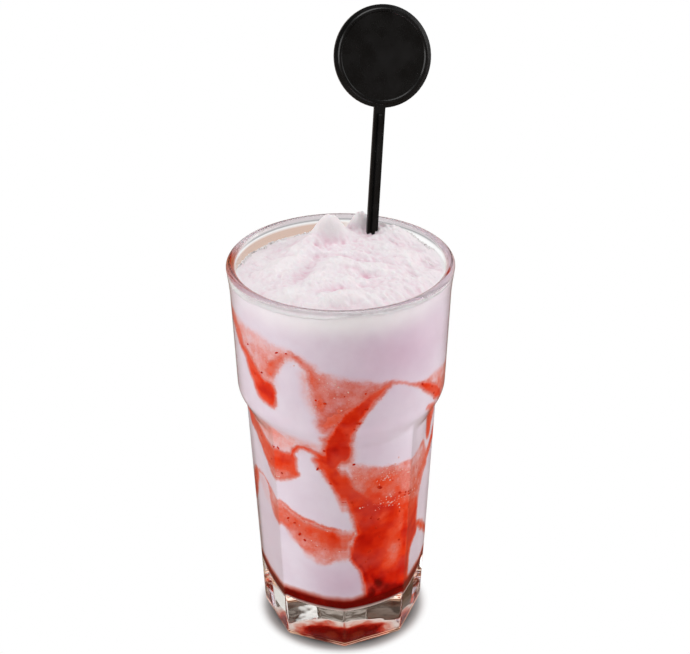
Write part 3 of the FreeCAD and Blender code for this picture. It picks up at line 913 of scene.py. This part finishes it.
# lumps and hollows: x, y, half length, half width, turn in degrees, rise
foamLumps = [
    (-3.9, 19.8, 5.7, 4.9, 0, 8.4), (-9.4, 15.5, 7.0, 4.5, 45, 2.4), (7.4, 29.2, 4.4, 3.6, 0, 7.2),
    (5.0, 22.5, 8.0, 5.5, 10, 2.6), (18.0, 26.0, 10.0, 6.0, -33, 4.8), (-16.4, 8.0, 14.0, 4.6, 62, 2.0),
    (-11.8, -5.0, 11.0, 3.6, 70, -2.6), (4.6, -6.0, 12.0, 3.4, -20, 1.7), (5.5, 1.2, 9.5, 2.4, -20, -1.6),
    (10.3, -11.5, 3.8, 3.0, 0, -2.0), (-0.5, -20.5, 7.0, 2.8, 12, -2.0), (3.0, -29.5, 9.0, 4.4, 0, 3.6),
    (-16.5, -24.0, 5.2, 4.6, 0, 2.0), (-19.0, 5.5, 3.8, 3.6, 0, -1.6), (20.5, 8.0, 10.0, 6.0, -40, 1.6),
    (30.0, 1.5, 4.8, 4.8, 0, -1.3),
    (-9.0, 11.0, 0.7, 0.6, 0, -0.7), (9.0, 20.6, 4.6, 2.6, 0, -1.1), (13.4, 19.2, 2.2, 1.8, 0, 0.9),
]


def foamHeight(x, y):
    # a dome, tilted a little and waved, with each lump as a bump, blunter where it is tall
    s = foamShape
    out = np.minimum(1, np.hypot(x, y) / glassShape["mouthRadius"])
    height = s["level"] + s["domeRise"] * (1 - out ** s["fullness"])
    height = height + (s["tilt"] * x - s["forward"] * y) / glassShape["mouthRadius"]
    wave, shift = 2 * math.pi / s["rippleLength"], s["rippleShift"]
    height = height + s["rippleRise"] * np.sin(wave * x + shift) * np.cos(wave * y - shift)
    for placeX, placeY, length, width, turn, rise in foamLumps:
        along, across = turnedBy(math.radians(turn), x - placeX, y - placeY)
        blunt = s["bluntness"] + 0.07 * max(0, rise - 5)
        height = height + rise * np.exp(-((along / length) ** 2 + (across / width) ** 2) ** blunt)
    return height


def slush(x, y):
    # fine relief of the foam: strands that run down to the right, finer ones on them, and
    # crumbs, over rounder lumps; the strands are weaker on the left
    s = foamShape
    along, across = turnedBy(math.radians(s["strandTurn"]), x, y)
    flat = np.stack([x, y, 0 * x], -1)
    strands = np.stack([across + 0.7 * softNoise(flat, 4.0, 12), along / 3.4, 0 * x], -1)
    folds = s["folds"] * (1 - 2 * np.abs(softNoise(strands, 1.7, 15)))
    folds = folds + s["fineFolds"] * softNoise(strands, 0.7, 16)
    crumbs = s["crumbs"] * layeredNoise(flat, 1.5, 2, 17)
    return s["lumps"] * layeredNoise(flat, 6.0, 3, 14), folds * (0.4 + 0.6 * easeStep(x, -18, 8)) + crumbs


def foamSurface(x, y):
    # height of the foam, and its height without the fine relief, which is calmer along the wall
    # and on steep sides
    lumps, strands = slush(x, y)
    calm = 1 - easeStep(np.hypot(x, y) / brimRadius, 0.86, 1.0)
    plain = foamHeight(x, y)
    steep = np.hypot(foamHeight(x + 0.5, y) - plain, foamHeight(x, y + 0.5) - plain) / 0.5
    fine = strands * (0.3 + 0.7 * calm) / (1 + (steep / 1.4) ** 2)
    return plain + lumps * (0.35 + 0.65 * calm) + fine, plain


bodySize = {"columns": 440, "rows": 222, "straight": 138.0, "frothFrom": 133.5, "frothTo": 144}


def makeShake():
    # the inside wall's surface of revolution from the pool up to the foam's edge, which the top
    # rows follow; the ends are closed inside the pool and the foam
    columns, straight = bodySize["columns"], bodySize["straight"]
    azimuth = allRound(columns) - math.pi
    height = np.linspace(poolLevel - 0.4, foamShape["level"], bodySize["rows"])[:, None]
    brim = foamSurface(brimRadius * np.sin(azimuth), -brimRadius * np.cos(azimuth))[0]
    share = np.clip((height - straight) / (foamShape["level"] - straight), 0, 1)
    level = height + (brim - foamShape["level"]) * share
    side = onAxis(azimuth, innerRadius(level) + wallReach, level)
    lid = onAxis(azimuth, 0.6 * brimRadius, np.array([[straight]]))
    rings = np.concatenate([side[:1] * [0.5, 0.5, 1], side, lid])
    piece = addPiece("shakeBody", *closedTurn(rings), shakeMaterial(), "pink_shake")
    amount = sauceAmount(azimuth, height)
    spacing = 2 * math.pi * 35 / columns, height[1, 0] - height[0, 0]
    edge = edgeStrength(amount, spacing)
    sunkSauceAndShade = sunkSauceAndShadeAmount(azimuth, height)
    froth = easeStep(height, bodySize["frothFrom"], bodySize["frothTo"]) * (0.5 + 0.5 * np.cos(azimuth) ** 2)
    for name, below, values, above in (
            ("sauce", 0, amount, 0), ("sunkSauceAndShade", 1, sunkSauceAndShade, 0), ("edge", 0, edge, 0),
            ("blush", 0, blushAmount(azimuth, height), 0), ("froth", 0, froth, 1)):
        addValues(piece, name, np.full(columns, below), values, np.full(columns, above), [below, above])
    return piece, azimuth, height, {"sauce": amount, "edge": edge, "sunkSauceAndShade": sunkSauceAndShade}


shake, wallAzimuth, wallHeight, wallValues = makeShake()

sauceLayer = {"from": 0.52, "margin": 0.05, "slope": 0.6, "sunk": 0.04, "rise": 0.12, "depth": 0.5}


def makeSauce():
    # where the sauce is thick it stands out of the shake's surface by an amount that passes
    # through nothing at its edge, and its back lies half a millimetre inside the shake. Quads
    # with a thick corner are kept, and their open edges are joined to the back by a wall.
    s = sauceLayer
    amount = wallValues["sauce"]
    total = amount.size
    stand = np.clip((amount - s["from"]) * s["slope"], -s["sunk"], s["rise"])
    radius = innerRadius(wallHeight) + wallReach
    outer = onAxis(wallAzimuth, radius + stand, wallHeight)
    inner = onAxis(wallAzimuth, radius - s["depth"], wallHeight)
    quads = gridQuads(*amount.shape, True)
    kept = quads[(amount.ravel()[quads] > s["from"] - s["margin"]).any(1)]
    edges = np.concatenate([kept[:, [k, (k + 1) % 4]] for k in range(4)])
    keys = np.sort(edges, 1) @ [1, total]
    where, counts = np.unique(keys, return_index=True, return_counts=True)[1:]
    rim = edges[where[counts == 1]]
    walls = np.stack([rim[:, 1], rim[:, 0], rim[:, 0] + total, rim[:, 1] + total], -1)
    used, renumbered = np.unique(np.concatenate([kept, kept[:, ::-1] + total, walls]), return_inverse=True)
    points = np.concatenate([outer.reshape(-1, 3), inner.reshape(-1, 3)])[used]
    piece = addPiece("sauceStreaks", points, renumbered.reshape(-1, 4), np.zeros((0, 3), int),
                     sauceMaterial(), "strawberry_sauce")
    for name, values in wallValues.items():
        addValues(piece, name, np.tile(values.ravel(), 2)[used])


makeSauce()


poolLook = {
    "columns": 256, "rows": 26,
    "side": [(0.3, "560402"), (0.55, "720703"), (0.75, "881008")],
    # brighter than the side, partly painted light where no lamp reaches; the palest rings also paint a
    # highlight seen in the base
    # underneath, in rings from the middle out to 40 mm: brown, dark, red, thin sauce over shake
    "below": [(0.05, "7c2214"), (0.13, "660604"), (0.22, "780804"), (0.3, "a81c10"), (0.36, "d05a44"),
              (0.42, "ecb8a8"), (0.48, "f4e2da")],
}


def poolMaterial():
    # sauce that has sunk to the floor: dark at the side, and underneath brighter, partly painted light, and
    # thinner outwards, with shake in it and a painted highlight in the palest rings; the rings waver by a few
    # millimetres
    material, nodes = newMaterial("darkSauce")
    cloud = nodes.noise(nodes.place, 6.0, 3.0)
    side = nodes.ramp(cloud, poolLook["side"])
    axes = nodes.axes(nodes.place)
    squares = [nodes.math("POWER", axes[name], 2.0) for name in "XY"]
    out = nodes.math("SQRT", nodes.math("ADD", *squares))
    below = nodes.ramp(nodes.sway(cloud, 0.3, nodes.math("MULTIPLY", out, 25.0)), poolLook["below"])
    upward = nodes.ramp(nodes.math("MULTIPLY", axes["Z"], 10.0), [
        (floorHeight / 100 + 0.005, 0.0), (floorHeight / 100 + 0.035, 1.0)])
    nodes.fill(nodes.surface, Base_Color=nodes.mix(upward, below, side), Roughness=0.4,
               Specular_IOR_Level=0.0, Normal=nodes.bump(cloud, 0.2, 0.3))
    return material


def makePool():
    # the inside of the glass from its floor up to the pool's level, reaching just into the wall
    azimuth = allRound(poolLook["columns"])
    share = np.linspace(0, 1, poolLook["rows"])[:, None]
    height = floorHeight + (poolLevel - floorHeight) * share ** 1.6
    side = onAxis(azimuth, innerRadius(height + 1e-6) + wallReach, height)
    side[0, :, 2] -= wallReach
    low = side[:1] * np.linspace(0.2, 0.95, 6)[:, None, None] ** [1, 1, 0]
    high = side[-1:] * np.linspace(0.9, 0.2, 4)[:, None, None] ** [1, 1, 0]
    rings = np.concatenate([low, side, high])
    pool = addPiece("saucePool", *closedTurn(rings), poolMaterial(), "strawberry_sauce")
    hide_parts("sauce_pool")


makePool()


def smoothed(field, reach):  # the mean of a grid over a square, from running sums along both sides
    for axis in (0, 1):
        before, after = (np.repeat(field.take([k], axis), reach, axis) for k in (0, -1))
        sums = np.cumsum(np.concatenate([before, field, after], axis), axis)
        sums = np.concatenate([0 * sums.take([0], axis), sums], axis)
        place, wide = np.arange(field.shape[axis]), 2 * reach + 1
        field = (sums.take(place + wide, axis) - sums.take(place, axis)) / wide
    return field


foamLook = {
    # pinker and darker into a hollow: partly the drink there, partly painted shade
    "pinks": [(0.1, "e8e3e6"), (0.45, "e5dbe1"), (0.72, "e1cdd6"), (1.0, "dcb6c5")],   # into a hollow
    "alongWall": "e8e3e6",
    "start": 0.40, "byHollow": 0.26,       # how pink a flat place is, and how much a hollow adds
    "near": (6, 0.35), "wide": (30, 1.5),  # cells each way, and the depth in mm that counts as one
}


def foamMaterial():
    # pale pink foam: pinker and darker in its hollows, partly the drink there and partly painted shade,
    # whiter along the wall, with fine crystals
    material, nodes = newMaterial("foam")
    amount = nodes.sway(nodes.noise(nodes.place, 9.0, 2.0), 0.9, nodes.value("hollow"))
    amount = nodes.sway(nodes.noise(nodes.place, 0.5, 3.0, 0.7), 0.5, amount)
    pink = nodes.ramp(amount, foamLook["pinks"])
    ring = nodes.ramp(nodes.value("outward"), [(0.955, 0.0), (0.99, 1.0)], smooth=True)
    grain = nodes.noise(nodes.place, 0.55, 3.0, 0.7)
    nodes.fill(nodes.surface, Base_Color=nodes.mix(ring, pink, linear(foamLook["alongWall"])),
               Roughness=0.55, Specular_IOR_Level=0.35, Subsurface_Weight=0.25,
               Subsurface_Radius=(0.0025, 0.0014, 0.0016), Subsurface_Scale=1.0,
               Normal=nodes.bump(grain, 0.3, 0.9))
    return material


def makeFoam():
    # a square grid bent to a disc that ends on the body's edge, with a closed underside: a
    # skirt of two more rings and a point below the middle
    count = foamShape["cells"] + 1
    line = np.linspace(-1, 1, count)
    u, v = np.meshgrid(line, line)
    x = u * np.sqrt(1 - v * v / 2) * brimRadius
    y = v * np.sqrt(1 - u * u / 2) * brimRadius
    out = np.hypot(x, y) / brimRadius
    height, plain = foamSurface(x, y)
    wall = easeStep(out, 0.985, 1.0) * (innerRadius(height) + wallReach - brimRadius) / brimRadius + 1
    top = np.stack([x * wall, y * wall, height], -1).reshape(-1, 3)
    start = count * count
    step = np.arange(count - 1)
    edge = np.concatenate([step, step * count + count - 1, start - 1 - step, (count - 1 - step) * count])
    around = len(edge)
    rim = top[edge]
    skirt = np.concatenate([rim * [0.992, 0.992, 1] - [0, 0, 0.3], rim * [0.97, 0.97, 1] - [0, 0, 2.5]])
    links = np.concatenate([edge[None, :], start + np.arange(2 * around).reshape(2, around)])
    ahead = np.roll(links, -1, 1)
    skirtQuads = np.stack([links[:-1], ahead[:-1], ahead[1:], links[1:]], -1).reshape(-1, 4)
    fan = np.stack([ahead[-1], links[-1], np.full(around, start + 2 * around)], -1)
    points = np.concatenate([top, skirt, [[0, 0, foamShape["level"] - 4]]])
    quads = np.concatenate([gridQuads(count, count, False), skirtQuads])
    piece = addPiece("foamTop", points, quads[:, ::-1], fan, foamMaterial(), "pink_shake")
    # a hollow lies below the mean of the cells around it, near by for the fine relief and over a
    # wide square for the plain surface; the deeper it is, the pinker and darker, partly painted shade
    (near, nearDepth), (wide, wideDepth) = foamLook["near"], foamLook["wide"]
    hollow = (smoothed(height, near) - height) / nearDepth + (smoothed(plain, wide) - plain) / wideDepth
    hollowPinkAndShade = np.clip(foamLook["start"] + foamLook["byHollow"] * hollow, 0, 1)
    extra = len(points) - start
    addValues(piece, "hollow", hollowPinkAndShade, np.full(extra, 0.3))
    addValues(piece, "outward", out, np.full(extra, 1.0))
    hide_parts("milkshake")
    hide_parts("milkshake")


makeFoam()


def scatter(name, centres, axes, material, slotName):
    # one small ball for each centre, stretched along its three axes
    lifted = np.radians([[-68], [-24], [24], [68]])
    ball, quads, triangles = closedTurn(onAxis(allRound(8), np.cos(lifted), np.sin(lifted)))
    points = (np.einsum("pk,nkj->npj", ball, axes) + centres[:, None]).reshape(-1, 3)
    step = (len(ball) * np.arange(len(centres)))[:, None, None]
    quads, triangles = (quads + step).reshape(-1, 4), (triangles + step).reshape(-1, 3)
    addPiece(name, points, quads, triangles, material, slotName)


def onWall(degrees, height, length, width, depth, turn, lift):
    # centres on the inside wall, and axes along it, across it and outwards
    azimuth = np.radians(degrees)
    centres = onAxis(azimuth, innerRadius(height) + wallReach + lift, height)
    along = np.stack([np.cos(azimuth), np.sin(azimuth), 0 * azimuth], -1)
    upright = 0 * along + [0, 0, 1]
    cosine, sine = np.cos(turn)[:, None], np.sin(turn)[:, None]
    axes = [(along * cosine + upright * sine) * length[:, None],
            (upright * cosine - along * sine) * width[:, None], onAxis(azimuth, 1.0, 0.0 * height) * depth]
    return centres, np.stack(axes, 1)


def amountAt(degrees, height):  # the sauce's amount at the nearest point of the body's grid
    amount = wallValues["sauce"]
    rows, columns = amount.shape
    column = np.round((np.radians(degrees) + math.pi) / (2 * math.pi) * columns).astype(int)
    row = np.searchsorted(wallHeight[:, 0], height)
    return amount[np.clip(row, 0, rows - 1), column % columns]


def pulpMaterial(name, low, high):  # bits in the drink: one colour that varies from bit to bit
    material, nodes = newMaterial(name)
    colour = nodes.ramp(nodes.noise(nodes.place, 2.0, 2.0), [(0.35, low), (0.65, high)])
    nodes.fill(nodes.surface, Base_Color=colour, Roughness=0.5, Specular_IOR_Level=0.0,
               Normal=nodes.bump(nodes.noise(nodes.place, 0.3, 2.0), 0.03, 0.3))
    return material


# the larger bits of fruit, one by one: degrees, height, half length, half width
fruit = [
    (-48, 118.7, 0.6, 0.4), (-54, 116.6, 0.5, 0.4), (-46.5, 114.6, 0.8, 0.45), (-59, 127, 0.6, 0.35),
    (-36, 129.6, 0.9, 0.35), (-30, 130.4, 0.5, 0.3), (-9, 112.6, 0.7, 0.5), (-14, 113.6, 0.5, 0.4),
    (9, 104.3, 1.2, 0.35), (3, 99.8, 0.7, 0.4), (-16.5, 81.2, 0.9, 0.4), (-7, 75.6, 0.6, 0.45),
    (7, 84, 0.7, 0.5), (27, 71.5, 1.3, 0.7), (45, 66, 1.0, 0.6), (5.6, 67.5, 0.7, 0.5),
    (-43, 55.3, 0.9, 0.45), (-37, 54.2, 0.7, 0.4), (-33, 49.6, 1.0, 0.55), (25, 53.6, 0.7, 0.4),
    (28, 49, 0.5, 0.4), (21, 36, 0.6, 0.4), (50, 113, 0.7, 0.4), (60, 109, 0.6, 0.4), (-48, 85.7, 0.8, 0.4),
    (-68, 84.6, 0.8, 0.4), (-46, 75, 0.5, 0.35), (62, 72, 0.7, 0.4), (83, 83.6, 0.6, 0.4),
]
# close groups of pale specks: degrees, height, spread in both, how many
speckGroups = [(36, 76.5, 6, 2.0, 70), (40, 63.5, 11, 1.6, 70), (-1, 120, 4, 2.4, 16), (-40, 126, 9, 4, 10)]
bits = {
    "tries": 9000, "heights": (24, 134),
    "seeds": 150, "seedsAbove": 0.42,                # amount of sauce
    "specks": 300, "specksWithin": (0.26, 0.6),
    "bubbles": 360, "bubblesTurn": (112, 262),       # degrees from the front
    "fruitColours": ("b41c0c", "dc3818"), "speckColours": ("e4a89a", "eac4ba"),
}


def makeBits():
    # fruit and seeds where the sauce is thick, and pale specks of foam in its veils
    source = np.random.default_rng(7)
    degrees, height = (source.uniform(*ends, bits["tries"]) for ends in ((-180, 180), bits["heights"]))
    amount = amountAt(degrees, height)
    seeds = np.flatnonzero(amount > bits["seedsAbove"])[:bits["seeds"]]
    size = 0.12 + 0.42 * source.random(len(seeds)) ** 3
    seedRows = np.stack([degrees[seeds], height[seeds], size * 1.3, size], -1)
    rows = np.concatenate([fruit, seedRows])
    centres, axes = onWall(*rows.T, 0.14, source.uniform(-1.2, 1.2, len(rows)), 0.08)
    scatter("fruitBits", centres, axes, pulpMaterial("fruitBits", *bits["fruitColours"]), "strawberry_sauce")
    thinnest, thickest = bits["specksWithin"]
    veil = np.flatnonzero((amount > thinnest) & (amount < thickest))[:bits["specks"]]
    placed = [source.normal(group[:2], group[2:4], (group[4], 2)) for group in speckGroups]
    spots = np.concatenate([np.stack([degrees[veil], height[veil]], -1)] + placed)
    size = 0.08 + 0.30 * source.random(len(spots)) ** 3
    centres, axes = onWall(*spots.T, size * 1.2, size, 0.10, source.uniform(-1, 1, len(spots)), 0.09)
    scatter("foamSpecks", centres, axes, pulpMaterial("foamSpecks", *bits["speckColours"]), "pink_shake")


def bubbleMaterial():
    # a foam bubble: pale in the middle, greyer round its edge where it is seen edge on, a painted shade; wet,
    # a few of them greyer all over
    material, nodes = newMaterial("foamBubble")
    colour = nodes.ramp(nodes.edgeOn(), [(0.2, "e8e4e5"), (0.7, "d8d3d3"), (1.0, "b4aeac")])
    greyer = nodes.ramp(nodes.noise(nodes.place, 2.0, 2.0), [(0.36, "b8b2b0"), (0.46, "ffffff")])
    nodes.fill(nodes.surface, Base_Color=nodes.mix(1.0, colour, greyer, "MULTIPLY"), Roughness=0.15,
               Specular_IOR_Level=0.5)
    return material


def makeBubbles():
    # small bubbles where the foam meets the wall at the back
    source = np.random.default_rng(11)
    azimuth = np.radians(source.uniform(*bits["bubblesTurn"], bits["bubbles"]))
    radius = 0.16 + 0.42 * source.random(len(azimuth)) ** 2.5
    reach = brimRadius - wallReach - 0.2 - source.uniform(0.0, 1.6, len(azimuth)) ** 1.5
    x, y = reach * np.sin(azimuth), -reach * np.cos(azimuth)
    centres = np.stack([x, y, foamSurface(x, y)[0] + 0.2 * radius], -1)
    scatter("edgeBubbles", centres, radius[:, None, None] * np.eye(3), bubbleMaterial(), "pink_shake")


makeBits()
makeBubbles()


stirrerLook = {"colours": ("090909", "101011"), "roughness": (0.22, 0.34), "gloss": 0.3}


def stirrerMaterial():
    # glossy black plastic with a grain from the mould, duller in places
    material, nodes = newMaterial("blackPlastic")
    uneven = nodes.noise(nodes.place, 7.0, 3.0)
    colour = nodes.ramp(uneven, list(zip((0.35, 0.7), stirrerLook["colours"])))
    rough = nodes.ramp(uneven, list(zip((0.3, 0.7), stirrerLook["roughness"])))
    nodes.fill(nodes.surface, Base_Color=colour, Roughness=rough, Specular_IOR_Level=stirrerLook["gloss"],
               Normal=nodes.bump(nodes.noise(nodes.place, 0.5, 3.0), 0.03, 0.35))
    return material


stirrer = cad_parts["stirrer"]
stirrer.data.materials.clear()
stirrer.data.materials.append(stirrerMaterial())
print("stirrer coloured")


# distances from the middle in millimetres; what the floor shows to mirrors runs from left to right
floorLook = {
    "columns": 96, "rings": (50.0, 200.0, 600.0, 2500.0), "level": -0.15,
    "paintedShadow": (26.5, 34.5), "white": (29.5, 34.5), "paintedGlow": (20, 28),
    "reflected": [(0.1, "94857c"), (0.42, "74543f"), (0.58, "74543f"), (0.8, "64544a")],
}


def floorMaterial():
    # a pale floor with a painted shadow, its own colour dark round where the foot stands. A little way out it
    # turns to plain white wherever it is seen, so that only the close shadow shows; mirrors see a brown table
    # there.
    material, nodes = newMaterial("paleFloor")
    reach = nodes.fill(nodes.add("ShaderNodeVectorMath", operation="LENGTH"), Vector=nodes.place)
    out = nodes.math("DIVIDE", reach.outputs["Value"], 100 * mm)
    paintedShadow, white, paintedGlow = (np.array(floorLook[name]) / 100 for name in ("paintedShadow", "white", "paintedGlow"))
    # painted shadow: the floor's colour itself darkens towards the foot
    close = nodes.ramp(out, list(zip(paintedShadow, ("3c3c3c", "fbfbfb"))))
    nodes.fill(nodes.surface, Base_Color=close, Roughness=0.8, Specular_IOR_Level=0.0)
    far = nodes.ramp(out, list(zip(white, (0.0, 1.0))), smooth=True)
    path = nodes.add("ShaderNodeLightPath").outputs
    mirrored = nodes.math("MULTIPLY", path["Is Reflection Ray"], path["Is Glossy Ray"])
    sideways = nodes.math("MULTIPLY_ADD", nodes.axes(nodes.place)["X"], 2.5, 0.5)   # over 400 mm
    table = nodes.ramp(sideways, floorLook["reflected"])
    shine = nodes.fill(nodes.add("ShaderNodeEmission"), Color=nodes.mix(mirrored, (1, 1, 1, 1), table))
    seen = nodes.math("MAXIMUM", path["Is Glossy Ray"], path["Is Transmission Ray"])
    seen = nodes.math("MAXIMUM", path["Is Camera Ray"], seen)
    # painted light: for diffuse rays it glows a little under the foot, like a lamp, to light the pool's
    # underside through the glass
    under = nodes.math("MULTIPLY", nodes.ramp(out, list(zip(paintedGlow, (1.0, 0.0)))), path["Is Diffuse Ray"])
    plain = nodes.math("MAXIMUM", nodes.math("MULTIPLY", far, seen), under)
    nodes.fill(nodes.output, Surface=nodes.mixShaders(plain, nodes.surface.outputs[0], shine.outputs[0]))
    material.cycles.emission_sampling = "NONE"
    return material


def makeFloor():
    # a wide disc just under the glass's foot: rings of points, and a fan in the middle
    columns, radii = floorLook["columns"], np.array(floorLook["rings"])[:, None]
    points = onAxis(allRound(columns), radii, floorLook["level"]).reshape(-1, 3)
    column = np.arange(columns)
    fan = np.stack([np.full(columns, len(points)), column, (column + 1) % columns], -1)
    quads = gridQuads(len(radii), columns, True)
    mesh = bpy.data.meshes.new("floor")
    points = np.concatenate([points, [[0, 0, floorLook["level"]]]]) * mm
    mesh.from_pydata(points, [], fan[:, ::-1].tolist() + quads[:, ::-1].tolist())
    if mesh.polygons[0].normal.z < 0:
        mesh.flip_normals()
    mesh.materials.append(floorMaterial())
    floor = addObject("floor", mesh)


worldLook = {
    "soft": 0.76,
    # upwards: what reflections show, and what is seen through the glass
    "studio": [(0.02, "d9cfc6"), (0.12, "93857a"), (0.3, "5c544e"), (0.5, "3a3734"), (0.75, "96918c"),
               (1.0, "ffffff")],
    "through": [(0.3, "ffffff"), (0.4, "a8a098"), (0.46, "847a70"), (0.52, "f0ecea"), (0.59, "7c7268"),
                (0.66, "ffffff"), (0.74, "8c847c"), (0.85, "ffffff")],
    # from left to right: the room's dim walls, and the window on them
    "room": [(0.2, "6e5e52"), (0.35, "74665c"), (0.45, "b0a69e"), (0.55, "b8b0a8"), (0.66, "948c84"),
             (0.72, "807870"), (0.74, "ffffff"), (0.85, "ffffff")],
    "window": "fafaf6",
}


def makeWorld():
    # plain white for the camera; a dim studio in reflections, white with grey patches through
    # the glass, with a window high on the right, and plain soft light for everything else
    world = bpy.data.worlds.new("studio")
    bpy.context.scene.world = world
    world.use_nodes = True
    nodes = Nodes(world.node_tree)
    path = nodes.add("ShaderNodeLightPath").outputs
    direction = nodes.add("ShaderNodeTexCoord").outputs["Generated"]
    axes = nodes.axes(direction)
    patches = nodes.fill(nodes.add("ShaderNodeTexNoise"), Vector=direction, Scale=4.0)
    uneven = nodes.sway(patches.outputs["Fac"], 0.5, axes["Z"])
    studio, through = (nodes.ramp(uneven, worldLook[name]) for name in ("studio", "through"))
    # high up the room is dark on one side, with a window on the other
    across = nodes.math("MULTIPLY_ADD", axes["X"], 0.5, 0.5)
    walls = nodes.mix(1.0, through, nodes.ramp(across, worldLook["room"]), "MULTIPLY")
    window = nodes.ramp(across, [(0.722, 0.0), (0.738, 1.0)])
    shaded = nodes.mix(window, walls, linear(worldLook["window"]))
    through = nodes.mix(nodes.ramp(axes["Z"], [(0.25, 0.0), (0.4, 1.0)]), through, shaded)
    seen = nodes.mix(path["Is Reflection Ray"], through, studio)
    soft, shown, white = (
        nodes.fill(nodes.add("ShaderNodeBackground"), Color=colour, Strength=strength).outputs[0]
        for colour, strength in (((1, 1, 1, 1), worldLook["soft"]), (seen, 1.0), ((1, 1, 1, 1), 1.0)))
    either = nodes.math("MAXIMUM", path["Is Reflection Ray"], path["Is Transmission Ray"])
    light = nodes.mixShaders(path["Is Camera Ray"], nodes.mixShaders(either, soft, shown), white)
    nodes.fill(nodes.add("ShaderNodeOutputWorld"), Surface=light)


# softboxes: name, degrees round from the front, height, distance and size in metres, watts
softboxes = [
    ("leftSoftbox", -70, 0.52, 0.9, 0.7, 5.5),
    ("rightSoftbox", 90, 0.50, 0.9, 0.6, 5.9),
    ("topSoftbox", 175, 1.10, 0.25, 0.6, 3.6),
]


def makeLamps():
    # square lamps that look at the drink's middle; a lamp shines along its own -Z
    for name, degrees, height, distance, size, power in softboxes:
        lamp = bpy.data.lights.new(name, "AREA")
        lamp.size = size
        lamp.energy = power
        angle = math.radians(degrees)
        place = np.array([distance * math.sin(angle), -distance * math.cos(angle), height])
        away = place - [0, 0, 0.08]
        away /= np.linalg.norm(away)
        side = np.cross([0, 0, 1.0], away)
        side /= np.linalg.norm(side)
        turn = Matrix(np.stack([side, np.cross(away, side), away], 1).tolist())
        addObject(name, lamp).matrix_world = Matrix.Translation(place) @ turn.to_4x4()


makeFloor()
makeWorld()
makeLamps()
scene = bpy.context.scene
scene.view_settings.view_transform = "Standard"
scene.cycles.max_bounces = 16
scene.cycles.transmission_bounces = 16
scene.cycles.transparent_max_bounces = 16
print("floor, world and lamps ready")
